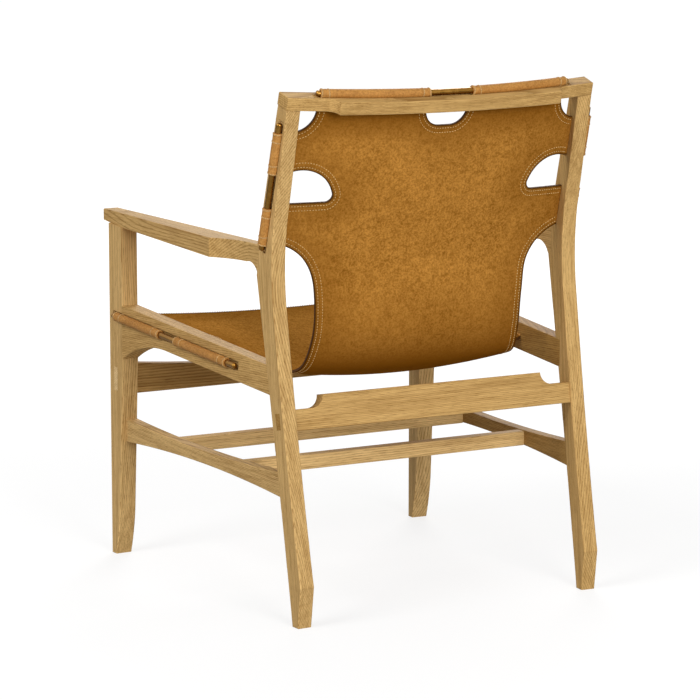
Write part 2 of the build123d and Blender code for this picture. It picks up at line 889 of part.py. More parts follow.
def sling_section(depth, height, angle, bow):
    """One section of the sling, two arcs a sheet's thickness apart, carried past the frame's inner faces."""
    plane = Plane(origin=(0, depth, height), x_dir=(1, 0, 0), z_dir=(0, sine(angle), cosine(angle)))
    inner = half_width(depth, rail_inset_at(depth))
    reach = inner + leather_thickness
    rise = bow * (reach / inner) ** 2
    half = leather_thickness / 2
    face = outline(
        (-reach, half - rise),
        ((0, half), (reach, half - rise)),
        (reach, -half - rise),
        ((0, -half), (-reach, -half - rise)),
    )
    return plane * face


def back_section(share, angle, bow):
    """A section of the back, its edge on the back rods' line."""
    height = back_rod_height + share * (overall_height - back_rod_height)
    behind = bow * (cosine(angle) + sine(angle) * tangent(back_angle))
    return sling_section(back_line(height) + behind, height, angle, bow)


def hip_section(shares, angle, bow):
    depth_share, height_share = shares
    return sling_section(depth_share * sling_depth, hip_height_at(height_share), angle, bow)


def seat_section(share, bow):
    """A section of the seat, its edge on the seat rods' line."""
    depth = share * sling_depth
    below = bow * (sine(sling_seat_angle) - cosine(sling_seat_angle) * tangent(seat_angle))
    return sling_section(depth, seat_line(depth) - below, sling_seat_angle, bow)


def sling_blank():
    """The whole sheet before its edges and openings are cut: the back and hips, then the seat."""
    back = [back_section(*at) for at in zip(sling_back_shares, sling_back_angles, sling_back_bows)]
    back += [hip_section(*at) for at in zip(sling_hip_shares, sling_hip_angles, sling_hip_bows)]
    seat = [seat_section(*at) for at in zip(sling_seat_shares, sling_seat_bows)]
    return loft(back) + loft([back[-1]] + seat)


def from_behind(face, front=-overall_height):
    """A cut through the sling, drawn as seen from behind, from the front value to the rear."""
    return Pos(0, front, 0) * extrude(Plane.XZ * face, amount=2 * overall_height, dir=(0, 1, 0))


def crest_gap():
    """The opening under the middle of the crest."""
    turn = crest_gap_half * (1 - cosine(45))
    straight = overall_height - crest_gap_straight
    bottom = overall_height - crest_gap_drop
    low = (straight - bottom) * (1 - cosine(45))
    high = overall_height + overrun
    face = outline(
        (crest_gap_half, high),
        (crest_gap_half, straight),
        ((crest_gap_half - turn, bottom + low), (0, bottom)),
        ((turn - crest_gap_half, bottom + low), (-crest_gap_half, straight)),
        (-crest_gap_half, high),
    )
    return from_behind(face)


def side_gaps(side):
    """The openings on one side: at the crest's corner, between the back's tabs, at the hip and at the seat."""
    wide = side * datum_width
    high = overall_height + overrun
    (lower_start, lower_end), (upper_start, upper_end) = [map(back_height, span) for span in back_loops]
    corner = outline(
        (side * crest_loop_far, high),
        (side * crest_loop_far, upper_end + corner_gap_rise),
        ((side * corner_via[0], upper_end + corner_via[1]), (side * arm_neck_inner, upper_end)),
        (wide, upper_end),
        (wide, high),
    )
    top = upper_start + back_gap_above
    bottom = lower_end + back_gap_below
    inner = side * back_gap_inner
    foot = side * (back_gap_inner + back_gap_round)
    turn = back_gap_round * (1 - cosine(45))
    back = outline(
        (wide, top),
        (side * back_gap_level, top),
        ((side * back_gap_via[0], top - back_gap_via[1]), (inner, bottom + back_gap_round)),
        ((inner + side * turn, bottom + turn), (foot, bottom)),
        (wide, bottom),
    )
    via = (side * hip_gap_via, hip_height_at(hip_gap_via_share))
    lower_via = (side * hip_gap_lower_via, hip_height_at(hip_gap_lower_share))
    floor = hip_height_at(hip_gap_floor_share)
    hip = outline(
        (wide, lower_start),
        (side * arm_neck_inner, lower_start),
        (via, (side * hip_gap_turn, hip_height_at(hip_gap_turn_share))),
        (lower_via, (side * hip_gap_corner, floor)),
        (side * hip_gap_corner, floor - overrun),
        (wide, floor - overrun),
    )
    rear_tab = seat_rod_front + seat_loops[1][1] * cosine(seat_angle)
    under = outline(
        (side * hip_gap_corner, hip_gap_depth + joint_gap),
        (
            (side * hip_gap_rear_via[0], hip_gap_rear_via[1]),
            (side * half_width(rear_tab, rear_leg_thickness), rear_tab),
        ),
        (wide, rear_tab),
        (wide, hip_gap_depth + joint_gap),
    )
    near = seat_rod_front + seat_loops[0][1] * cosine(seat_angle)
    far = seat_rod_front + seat_loops[1][0] * cosine(seat_angle)
    middle = (near + far) / 2
    half = (far - near) / 2
    root = side * (half_width(middle, rear_leg_thickness) - seat_gap_depth + half)
    seat = outline(
        (wide, near),
        (root, near),
        ((root - side * half, middle), (root, far)),
        (wide, far),
    )
    flat_cuts = [extrude(face, amount=overall_height) for face in (under, seat)]
    return [from_behind(corner), from_behind(back), from_behind(hip, hip_gap_depth)] + flat_cuts


def sling():
    """The leather sheet, from the crest's underside to the seat's front edge."""
    sheet = sling_blank() & between_inner_faces(edge_gap)
    sheet = sheet - above_crest(-crest_thickness - edge_gap)
    front_edge = (-overall_height - sling_depth, -sling_depth)
    sheet = sheet - block((-datum_width, datum_width), front_edge, (0, overall_height), 0)
    cuts = [crest_gap()]
    for side in (1, -1):
        cuts += side_gaps(side)
    for cut in cuts:
        sheet = sheet - cut
    return sheet


def side_loop(place, span):
    """One loop on a side frame's rod, its tongue reaching the sling's edge."""
    reach = front_leg_thickness + overrun
    return in_side_frame(place * loop(*span, reach)) - between_inner_faces(edge_gap)


def side_bindings(place, spans, pitch):
    """The rounds of thread on one rod's loops."""
    rings = []
    for start, end in spans:
        rings += [in_side_frame(place * ring) for ring in bindings(start, end, pitch)]
    return rings


def both_sides(name, left):
    """A piece of the left side, and its mirror image on the right."""
    if isinstance(left, list):
        right = [mirror(solid, about=Plane.YZ) for solid in left]
        return {name + "_left": Compound(left), name + "_right": Compound(right)}
    return {name + "_left": left, name + "_right": mirror(left, about=Plane.YZ)}


nodes = {}
nodes.update(both_sides("rear_leg", rear_leg()))
nodes.update(both_sides("front_leg", front_leg()))
nodes.update(both_sides("arm", arm()))
nodes.update(both_sides("seat_rail", seat_rail()))
nodes.update(both_sides("side_stretcher", side_stretcher()))
nodes["rear_rail"] = rear_rail()
nodes["front_rail"] = front_rail()
nodes["cross_stretcher_front"] = cross_stretcher(cross_front)
nodes["cross_stretcher_rear"] = cross_stretcher(cross_rear)
nodes["crest_rail"] = crest_rail()
nodes["crest_rod"] = crest_rod()
nodes.update(both_sides("back_rod", in_side_frame(back_rod_plane * rod(back_rod_length))))
nodes.update(both_sides("seat_rod", in_side_frame(seat_rod_plane * rod(seat_rod_length))))
nodes["sling"] = sling()
nodes.update(both_sides("crest_loop", crest_loop(1)))
nodes.update(both_sides("back_loop_lower", side_loop(back_rod_plane, back_loops[0])))
nodes.update(both_sides("back_loop_upper", side_loop(back_rod_plane, back_loops[1])))
nodes.update(both_sides("seat_loop_front", side_loop(seat_rod_plane, seat_loops[0])))
nodes.update(both_sides("seat_loop_rear", side_loop(seat_rod_plane, seat_loops[1])))
nodes["crest_bindings"] = Compound(crest_bindings(1) + crest_bindings(-1))
nodes.update(both_sides("back_bindings", side_bindings(back_rod_plane, back_loops, back_binding_pitch)))
nodes.update(both_sides("seat_bindings", side_bindings(seat_rod_plane, seat_loops, seat_binding_pitch)))

# The origin goes to the floor under the middle of the finished chair.
extent = Compound(list(nodes.values())).bounding_box()
to_origin = Pos(0, -extent.center().Y, -extent.min.Z)

os.makedirs("parts", exist_ok=True)
for name, solid in nodes.items():
    export_step(to_origin * solid, os.path.join("parts", name + ".step"))
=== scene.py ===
import math

import bmesh
import bpy
from mathutils import Matrix, Vector


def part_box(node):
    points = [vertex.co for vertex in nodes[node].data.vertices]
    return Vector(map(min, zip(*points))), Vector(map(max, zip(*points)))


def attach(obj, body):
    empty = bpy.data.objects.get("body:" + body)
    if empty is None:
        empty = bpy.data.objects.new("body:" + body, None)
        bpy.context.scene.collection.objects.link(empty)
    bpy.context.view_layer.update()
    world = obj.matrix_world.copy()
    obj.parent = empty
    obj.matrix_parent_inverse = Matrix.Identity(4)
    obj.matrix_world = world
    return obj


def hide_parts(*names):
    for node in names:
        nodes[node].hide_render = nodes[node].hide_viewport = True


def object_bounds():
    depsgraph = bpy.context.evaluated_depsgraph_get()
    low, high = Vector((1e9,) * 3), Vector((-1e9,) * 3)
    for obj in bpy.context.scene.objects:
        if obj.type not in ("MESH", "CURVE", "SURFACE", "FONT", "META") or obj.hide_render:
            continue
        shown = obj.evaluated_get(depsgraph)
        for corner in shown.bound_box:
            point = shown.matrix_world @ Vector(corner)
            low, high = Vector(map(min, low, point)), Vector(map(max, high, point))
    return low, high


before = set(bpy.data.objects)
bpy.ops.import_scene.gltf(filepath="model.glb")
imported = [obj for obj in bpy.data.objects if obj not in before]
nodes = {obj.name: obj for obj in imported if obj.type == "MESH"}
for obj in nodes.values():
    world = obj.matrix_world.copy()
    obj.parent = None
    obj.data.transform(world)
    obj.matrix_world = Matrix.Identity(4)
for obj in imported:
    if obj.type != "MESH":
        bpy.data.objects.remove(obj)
cad_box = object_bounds()

# The room for the picture: a long-lens camera behind the chair's left rear corner, a pale floor that
# keeps a faint shadow, and broad soft light from behind, left and front. Metres and degrees.
camera_place = (2.6372, 4.7855, 1.3116)
camera_turn = 151.22
camera_dip = 9.75
camera_lens = 171.1
camera_sensor = 36.0
floor_size = 60.0
floor_colour = (0.45, 0.45, 0.45, 1.0)
floor_seen_colour = (0.26, 0.26, 0.26, 1.0)
floor_glow_near = 0.76
floor_glow_far = 0.93
glow_from = 0.8
glow_to = 5.0
world_strength = 0.34
soft_lamps = (
    ("lamp_behind", (0.3, 4.8, 1.75), 2.2, 160.0),
    ("lamp_left", (3.6, 0.8, 3.0), 2.2, 90.0),
    ("lamp_front", (-2.4, -3.6, 2.6), 2.4, 110.0),
)

camera = bpy.data.objects.new("camera", bpy.data.cameras.new("camera"))
camera.data.sensor_width = camera_sensor
camera.data.lens = camera_lens
camera.data.clip_end = 2 * floor_size
camera.location = camera_place
camera.rotation_euler = (math.radians(90.0 - camera_dip), 0.0, math.radians(camera_turn))
bpy.context.scene.collection.objects.link(camera)
bpy.context.scene.camera = camera
bpy.context.scene.view_settings.view_transform = "Standard"

chair_middle = (cad_box[0] + cad_box[1]) / 2
for lamp_name, place, size, power in soft_lamps:
    lamp = bpy.data.objects.new(lamp_name, bpy.data.lights.new(lamp_name, "AREA"))
    lamp.data.shape = "DISK"
    lamp.data.size = size
    lamp.data.energy = power
    lamp.location = place
    lamp.rotation_euler = (chair_middle - Vector(place)).to_track_quat("-Z", "Y").to_euler()
    bpy.context.scene.collection.objects.link(lamp)


def add_node(tree, kind, inputs=None, **settings):
    """One node, its inputs given as values or as the sockets that feed them."""
    node = tree.nodes.new(kind)
    for name, value in settings.items():
        setattr(node, name, value)
    for name, value in (inputs or {}).items():
        if isinstance(value, bpy.types.NodeSocket):
            tree.links.new(value, node.inputs[name])
        else:
            node.inputs[name].default_value = value
    return node


def maths(tree, operation, first, second=0.0, third=0.0):
    """One sum on values or sockets."""
    return add_node(tree, "ShaderNodeMath", {0: first, 1: second, 2: third}, operation=operation).outputs[0]


def blended(tree, share, first, second):
    """Two colours mixed by a share."""
    mix = add_node(tree, "ShaderNodeMix", data_type="RGBA")
    for socket, value in ((mix.inputs[0], share), (mix.inputs[6], first), (mix.inputs[7], second)):
        if isinstance(value, bpy.types.NodeSocket):
            tree.links.new(value, socket)
        else:
            socket.default_value = value
    return mix.outputs[2]


world = bpy.data.worlds.new("studio")
world.use_nodes = True
bpy.context.scene.world = world
world.node_tree.nodes.clear()
seen = add_node(world.node_tree, "ShaderNodeLightPath")
white = maths(world.node_tree, "MAXIMUM", seen.outputs["Is Camera Ray"], seen.outputs["Is Glossy Ray"])
white = maths(world.node_tree, "MAXIMUM", white, seen.outputs["Is Transmission Ray"])
strength = add_node(
    world.node_tree, "ShaderNodeMapRange", {"Value": white, "To Min": world_strength, "To Max": 1.0}
)
sky = add_node(world.node_tree, "ShaderNodeBackground", {"Strength": strength.outputs[0]})
sky.inputs["Color"].default_value = (1.0, 1.0, 1.0, 1.0)
add_node(world.node_tree, "ShaderNodeOutputWorld", {"Surface": sky.outputs[0]})


def new_piece(name, mesh_maker, smooth=True):
    """A piece of the chair from a finished bmesh, at the origin."""
    mesh = bpy.data.meshes.new(name)
    mesh_maker.to_mesh(mesh)
    mesh_maker.free()
    if smooth:
        mesh.shade_smooth()
    piece = bpy.data.objects.new(name, mesh)
    bpy.context.scene.collection.objects.link(piece)
    return piece


def new_material(name):
    """An empty node material with its surface shader, and the tree to build in."""
    material = bpy.data.materials.new(name)
    material.use_nodes = True
    tree = material.node_tree
    return material, tree, tree.nodes["Principled BSDF"]


floor_maker = bmesh.new()
bmesh.ops.create_grid(floor_maker, x_segments=1, y_segments=1, size=floor_size)
floor = new_piece("floor", floor_maker, smooth=False)
floor_material, floor_tree, floor_shader = new_material("floor_paper")
floor_shader.inputs["Roughness"].default_value = 1.0
floor_shader.inputs["Specular IOR Level"].default_value = 0.0
floor_shader.inputs["Emission Color"].default_value = (1.0, 1.0, 1.0, 1.0)
floor_seen = add_node(floor_tree, "ShaderNodeLightPath")
floor_at = add_node(floor_tree, "ShaderNodeTexCoord").outputs["Object"]
off_chair = add_node(floor_tree, "ShaderNodeVectorMath", {0: floor_at}, operation="LENGTH").outputs["Value"]
glow = add_node(
    floor_tree,
    "ShaderNodeMapRange",
    {
        "Value": off_chair,
        "From Min": glow_from,
        "From Max": glow_to,
        "To Min": floor_glow_near,
        "To Max": floor_glow_far,
    },
).outputs[0]
glow = maths(floor_tree, "MULTIPLY", floor_seen.outputs["Is Camera Ray"], glow)
floor_tree.links.new(glow, floor_shader.inputs["Emission Strength"])
paper = blended(floor_tree, floor_seen.outputs["Is Camera Ray"], floor_colour, floor_seen_colour)
floor_tree.links.new(paper, floor_shader.inputs["Base Color"])
floor.data.materials.append(floor_material)

# The oak frame: ring-porous boards with their grain along each piece, planed, eased at the edges and
# soaped. The rings run round a pith that lies outside the board, and dark pores lie in the early wood.
pore_width = 0.0006
pore_length = 0.014
ring_wander = 0.030
oak_light = (0.78, 0.525, 0.225, 1.0)
oak_dark = (0.30, 0.158, 0.042, 1.0)
oak_pore = (0.20, 0.105, 0.030, 1.0)
shade_powers = (1.0, 1.35, 2.2)
grain_relief = 0.0004
soaped_gloss = 0.08


def group_sockets(group, ins, outs):
    """Named sockets on a node group, and its two end nodes."""
    for name, kind, value in ins:
        socket = group.interface.new_socket(name, in_out="INPUT", socket_type=kind)
        if value is not None:
            socket.default_value = value
    for name, kind in outs:
        group.interface.new_socket(name, in_out="OUTPUT", socket_type=kind)
    return group.nodes.new("NodeGroupInput"), group.nodes.new("NodeGroupOutput")


def stretched(tree, vector, scale):
    """A point scaled on each axis."""
    return add_node(tree, "ShaderNodeVectorMath", {0: vector, 1: scale}, operation="MULTIPLY").outputs[0]


def ramped(tree, value, low, high, to_low=0.0, to_high=1.0):
    """A value eased from one range to another."""
    inputs = {"Value": value, "From Min": low, "From Max": high, "To Min": to_low, "To Max": to_high}
    return add_node(tree, "ShaderNodeMapRange", inputs, interpolation_type="SMOOTHSTEP").outputs[0]


def noise(tree, point, detail, scale=1.0, roughness=0.5):
    """Soft random values over a point."""
    inputs = {"Vector": point, "Scale": scale, "Detail": detail, "Roughness": roughness}
    return add_node(tree, "ShaderNodeTexNoise", inputs).outputs["Fac"]


def build_grain():
    """Oak's growth rings, pores and flecks round a pith along Z, as a colour, a height and a gloss."""
    group = bpy.data.node_groups.new("oak_grain", "ShaderNodeTree")
    start, end = group_sockets(
        group,
        (
            ("Vector", "NodeSocketVector", None),
            ("Light", "NodeSocketColor", oak_light),
            ("Dark", "NodeSocketColor", oak_dark),
            ("Pore", "NodeSocketColor", oak_pore),
            ("Rings", "NodeSocketFloat", 500.0),
        ),
        (("Color", "NodeSocketColor"), ("Height", "NodeSocketFloat"), ("Roughness", "NodeSocketFloat")),
    )
    point = start.outputs["Vector"]
    drift = noise(group, stretched(group, point, (10.0, 10.0, 1.8)), 1.5)
    flat = stretched(group, point, (1.0, 1.0, 0.0))
    radius = add_node(group, "ShaderNodeVectorMath", {0: flat}, operation="LENGTH").outputs["Value"]
    wander = maths(group, "MULTIPLY_ADD", drift, ring_wander, radius)
    rings = maths(group, "MULTIPLY", wander, start.outputs["Rings"])
    phase = maths(group, "FRACT", rings)
    early = maths(group, "SUBTRACT", 1.0, ramped(group, phase, 0.0, 0.45))
    late = ramped(group, phase, 0.60, 0.98)
    pore_at = stretched(group, point, (1.0 / pore_width, 1.0 / pore_width, 1.0 / pore_length))
    pore = ramped(group, noise(group, pore_at, 1.0), 0.53, 0.66)
    pore = maths(group, "MULTIPLY", pore, maths(group, "MULTIPLY_ADD", early, 0.85, 0.15))
    fibres = noise(group, stretched(group, point, (900.0, 900.0, 26.0)), 2.0)
    streaks = noise(group, stretched(group, point, (210.0, 210.0, 5.0)), 2.0)
    cloud = noise(group, stretched(group, point, (16.0, 16.0, 3.5)), 2.0)
    depth = maths(group, "MULTIPLY", ramped(group, fibres, 0.3, 0.7), 0.26)
    depth = maths(group, "MULTIPLY_ADD", late, 0.46, depth)
    depth = maths(group, "MULTIPLY_ADD", ramped(group, streaks, 0.36, 0.68), 0.28, depth)
    depth = maths(group, "MULTIPLY_ADD", ramped(group, cloud, 0.35, 0.7), 0.16, depth)
    body = blended(group, depth, start.outputs["Light"], start.outputs["Dark"])
    colour = blended(group, maths(group, "MULTIPLY", pore, 0.85), body, start.outputs["Pore"])
    height = maths(group, "SUBTRACT", maths(group, "MULTIPLY", fibres, 0.25), pore)
    gloss = maths(group, "MULTIPLY_ADD", pore, 0.14, 0.62)
    group.links.new(colour, end.inputs["Color"])
    group.links.new(height, end.inputs["Height"])
    group.links.new(gloss, end.inputs["Roughness"])
    return group


grain = build_grain()


def oak(name, turn, pith, ring_width, shade):
    """An oak finish with the grain turned to lie along the piece and the pith set off from it."""
    material, tree, shader = new_material(name)
    where = add_node(tree, "ShaderNodeTexCoord")
    mapping = add_node(tree, "ShaderNodeMapping", {"Vector": where.outputs["Object"]})
    mapping.inputs["Rotation"].default_value = [math.radians(angle) for angle in turn]
    mapping.inputs["Location"].default_value = pith
    wood = add_node(tree, "ShaderNodeGroup", {}, node_tree=grain)
    for colour, value in (("Light", oak_light), ("Dark", oak_dark), ("Pore", oak_pore)):
        tint = [part * shade**power for part, power in zip(value, shade_powers)]
        wood.inputs[colour].default_value = tint + [1.0]
    wood.inputs["Rings"].default_value = 1.0 / ring_width
    tree.links.new(mapping.outputs[0], wood.inputs["Vector"])
    relief = {"Height": wood.outputs["Height"], "Strength": 0.35, "Distance": grain_relief}
    bump = add_node(tree, "ShaderNodeBump", relief)
    tree.links.new(wood.outputs["Color"], shader.inputs["Base Color"])
    tree.links.new(wood.outputs["Roughness"], shader.inputs["Roughness"])
    tree.links.new(bump.outputs[0], shader.inputs["Normal"])
    shader.inputs["Specular IOR Level"].default_value = soaped_gloss
    return material


def finish_node(name, material):
    """Give a solid of the frame its finish."""
    nodes[name].data.materials.clear()
    nodes[name].data.materials.append(material)


# Each board: the turn that brings its grain upright, the pith's offset, the rings' width and how light it is
# set. The legs' grain stands up, the side pieces' runs fore and aft and the rails' runs across. On some
# boards that lightness holds painted shade or painted light, as noted beside them.
both_sides = ("left", "right")
upright = (0.0, 0.0, 0.0)
leaning = (-5.0, 0.0, 0.0)
fore_and_aft = (90.0, 0.0, 0.0)
seat_slope = (86.5, 0.0, 0.0)
crosswise = (0.0, 90.0, 0.0)
front_pith_left = (-0.15, 0.44, 0.0)
front_pith_right = (0.40, 0.44, 0.0)
rear_rail_pith = (-1.45, 0.12, 0.0)
front_rail_pith = (-1.30, 0.12, 0.0)
oak_pieces = (
    ("oak_rear_leg_left", leaning, (-0.157, -0.08, 0.0), 0.0019, 0.94, ["rear_leg_left"]),
    ("oak_rear_leg_right", leaning, (0.12, -0.07, 0.0), 0.0019, 0.88, ["rear_leg_right"]),
    ("oak_front_leg_left", upright, front_pith_left, 0.0026, 0.96, ["front_leg_left"]),
    # The right front leg is set lighter than the left: painted light on the far leg.
    ("oak_front_leg_right_painted_light", upright, front_pith_right, 0.0026, 1.04, ["front_leg_right"]),
    ("oak_arm", fore_and_aft, (0.2, 0.35, 0.0), 0.0030, 0.88, ["arm_left", "arm_right"]),
    ("oak_seat_rail_left", seat_slope, (0.0, 1.2, 0.0), 0.0030, 0.84, ["seat_rail_left"]),
    # The right seat rail is set much darker than the left: painted shade on its inner face under the sling.
    ("oak_seat_rail_right_painted_shade", seat_slope, (0.0, 1.1, 0.0), 0.0030, 0.58, ["seat_rail_right"]),
    ("oak_stretcher_left", fore_and_aft, (0.0, 1.2, 0.0), 0.0024, 0.98, ["side_stretcher_left"]),
    # The right stretcher is set darker than the left: painted shade under the seat.
    ("oak_stretcher_right_painted_shade", fore_and_aft, (0.0, 1.1, 0.0), 0.0024, 0.70, ["side_stretcher_right"]),
    (
        "oak_cross",
        crosswise,
        (0.1, 0.3, 0.0),
        0.0026,
        1.02,
        ["cross_stretcher_front", "cross_stretcher_rear"],
    ),
    ("oak_rear_rail", crosswise, rear_rail_pith, 0.0022, 0.84, ["rear_rail"]),
    # The front rail is darker partly for its own boards and partly as painted shade under the seat.
    ("oak_front_rail", crosswise, front_rail_pith, 0.0046, 0.78, ["front_rail"]),
    ("oak_crest", crosswise, (1.9, 0.15, 0.0), 0.0026, 0.82, ["crest_rail"]),
)
for oak_name, turn, pith, ring_width, shade, boards in oak_pieces:
    finish = oak(oak_name, turn, pith, ring_width, shade)
    for board in boards:
        finish_node(board, finish)

# The tenons' end grain shows on the legs' outer faces and on top of the arms, and is its own shade there.
end_grain_depth = 0.004
end_grains = (
    ("front_rail", "X", oak("oak_front_tenon", crosswise, front_rail_pith, 0.0030, 1.24)),
    ("rear_rail", "X", oak("oak_rear_tenon", crosswise, rear_rail_pith, 0.0022, 0.62)),
    ("front_leg_left", "Z", oak("oak_leg_tenon", upright, front_pith_left, 0.0026, 0.70)),
    ("front_leg_right", "Z", oak("oak_leg_tenon_right", upright, front_pith_right, 0.0026, 0.70)),
)
for board, axis, finish in end_grains:
    mesh = nodes[board].data
    mesh.materials.append(finish)
    number = "XYZ".index(axis)
    reach = max(vert.co[number] for vert in mesh.vertices)
    for face in mesh.polygons:
        outside = face.center[number] if axis == "Z" else abs(face.center[number])
        if abs(face.normal[number]) > 0.9 and outside > reach - end_grain_depth:
            face.material_index = 1

# The rods: dark bronzed brass bars with domed ends, let into grooves in the oak. The loops of the sling
# close round them, and the groove keeps them from turning.
bronze_dark = (0.27, 0.13, 0.022, 1.0)
bronze_bright = (0.37, 0.19, 0.04, 1.0)
bronze, bronze_tree, bronze_shader = new_material("rod_bronze")
bronze_at = add_node(bronze_tree, "ShaderNodeTexCoord").outputs["Object"]
patina = noise(bronze_tree, bronze_at, 4.0, 90.0)
bronze_colour = blended(bronze_tree, ramped(bronze_tree, patina, 0.3, 0.8), bronze_dark, bronze_bright)
bronze_tree.links.new(bronze_colour, bronze_shader.inputs["Base Color"])
bronze_rough = ramped(bronze_tree, patina, 0.3, 0.75, 0.24, 0.38)
bronze_tree.links.new(bronze_rough, bronze_shader.inputs["Roughness"])
bronze_shader.inputs["Metallic"].default_value = 1.0
rods = ["crest_rod"] + [f"{rod}_{side}" for rod in ("back_rod", "seat_rod") for side in both_sides]
for rod in rods:
    finish_node(rod, bronze)

# The sling: one 4 mm saddle-leather sheet, cut to its outline with the openings between its tabs, and
# stretched from the crest to the seat's front edge. Its section bows between the frame's inner faces.
splay_angle = 3.04
half_datum_width = 0.2811
rear_leg_thickness = 0.025
front_leg_thickness = 0.030
leather_thickness = 0.004
eased_edge = 0.0009
edge_gap = 0.0003
sling_depth = 0.487
back_angle = 15.4
seat_angle = 3.47
back_rod_depth = 0.0018
back_rod_height = 0.5864
seat_rod_front = -0.498
seat_rod_height = 0.4156
crest_height = 0.838
crest_front = 0.0508
crest_thickness = 0.021
front_leg_back = -0.470
rear_leg_seam = 0.0235
sling_back_shares = (1.0200, 0.7639, 0.5350, 0.3072, 0.0781)
sling_back_angles = (18.0, 16.2, 15.6, 15.4, 13.4)
sling_back_bows = (0.0265, 0.0238, 0.0238, 0.0234, 0.0239)
sling_hip_shares = (
    (0.0448, 0.8059),
    (0.0361, 0.5103),
    (0.0170, 0.2180),
    (-0.0464, -0.0309),
    (-0.1589, -0.1355),
)
sling_hip_angles = (6.8, 5.0, 17.0, 50.0, 84.3)
sling_hip_bows = (0.0280, 0.0265, 0.0280, 0.0220, 0.0260)
sling_seat_shares = (-0.2809, -0.4025, -0.5240, -0.6456, -0.7671, -0.8887, -1.0150)
sling_seat_angle = 96.8
sling_seat_bows = (0.0333, 0.0296, 0.0262, 0.0228, 0.0194, 0.0156, 0.0114)
cell = 0.0060
# How far from its edges the sheet is darkened, partly painted shade beside the frame; edge distances stop
# there.
edge_darkening_reach = 0.09
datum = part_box("sling")[0].y + sling_depth


def tangent(angle):
    """The tangent of an angle in degrees."""
    return math.tan(math.radians(angle))


def back_line(height):
    """Depth of the back rods' line, where the sling's edge lies, at a height."""
    return back_rod_depth + (height - back_rod_height) * tangent(back_angle)


def seat_line(depth):
    """Height of the seat rods' line, where the sling's edge lies, at a depth."""
    return seat_rod_height - (depth - seat_rod_front) * tangent(seat_angle)


def edge_at(depth):
    """Half the space between the frame's inner faces at a depth, less the sling's gap to them."""
    share = min(max((rear_leg_seam - depth) / (rear_leg_seam - front_leg_back), 0.0), 1.0)
    inset = rear_leg_thickness + share * (front_leg_thickness - rear_leg_thickness)
    across = half_datum_width - depth * tangent(splay_angle)
    return across - inset / math.cos(math.radians(splay_angle)) - edge_gap


def sling_stations():
    """The sections along the sling's middle line: depth, height, turn from upright and bow."""
    stations = []
    for share, angle, bow in zip(sling_back_shares, sling_back_angles, sling_back_bows):
        height = back_rod_height + share * (crest_height - back_rod_height)
        lean = math.radians(angle)
        behind = bow * (math.cos(lean) + math.sin(lean) * tangent(back_angle))
        stations.append((back_line(height) + behind, height, angle, bow))
    rise = back_rod_height - seat_line(0.0)
    for (depth, height), angle, bow in zip(sling_hip_shares, sling_hip_angles, sling_hip_bows):
        stations.append((depth * sling_depth, seat_line(0.0) + height * rise, angle, bow))
    lean = math.radians(sling_seat_angle)
    for share, bow in zip(sling_seat_shares, sling_seat_bows):
        depth = share * sling_depth
        below = bow * (math.sin(lean) - math.cos(lean) * tangent(seat_angle))
        stations.append((depth, seat_line(depth) - below, sling_seat_angle, bow))
    return stations


stations = sling_stations()
along = [0.0]
for here, there in zip(stations, stations[1:]):
    along.append(along[-1] + math.dist(here[:2], there[:2]))


def slope_at(index, value):
    """How fast a value of the sections changes along the sling at one section."""
    if index in (0, len(stations) - 1):
        first = min(index, len(stations) - 2)
        return (stations[first + 1][value] - stations[first][value]) / (along[first + 1] - along[first])
    before = along[index] - along[index - 1]
    after = along[index + 1] - along[index]
    slope_before = (stations[index][value] - stations[index - 1][value]) / before
    slope_after = (stations[index + 1][value] - stations[index][value]) / after
    return (slope_before * after + slope_after * before) / (before + after)


slopes = [[slope_at(index, value) for value in range(4)] for index in range(len(stations))]


def section_at(run):
    """The sling's section at a length along its middle line, eased between the given ones."""
    run = min(max(run, 0.0), along[-1])
    index = max(i for i in range(len(along) - 1) if along[i] <= run)
    span = along[index + 1] - along[index]
    t = (run - along[index]) / span
    ease = (2 * t**3 - 3 * t**2 + 1, t**3 - 2 * t**2 + t, 3 * t**2 - 2 * t**3, t**3 - t**2)
    return [
        ease[0] * stations[index][value]
        + ease[1] * span * slopes[index][value]
        + ease[2] * stations[index + 1][value]
        + ease[3] * span * slopes[index + 1][value]
        for value in range(4)
    ]


def sling_point(across, run):
    """The sling's middle surface at a distance from its middle line and a length along it."""
    depth, height, angle, bow = section_at(run)
    lean = math.radians(angle)
    rise = bow * (across / edge_at(depth)) ** 2
    return Vector((across, datum + depth - rise * math.cos(lean), height + rise * math.sin(lean)))


def run_where(across, reached):
    """The length along the sling at which a test on its point first holds."""
    low = 0.0
    high = along[-1]
    for _ in range(26):
        middle = (low + high) / 2
        if reached(sling_point(across, middle)):
            high = middle
        else:
            low = middle
    return high


def at_height(across, height, depth=-1.0):
    """A place of the flat sheet, given as it is seen from behind, no further forward than a depth."""
    return across, run_where(across, lambda point: point.z <= height or point.y <= datum + depth)


def at_depth(across, depth):
    """A place of the flat sheet, given as it is seen from above."""
    return across, run_where(across, lambda point: point.y <= datum + depth)


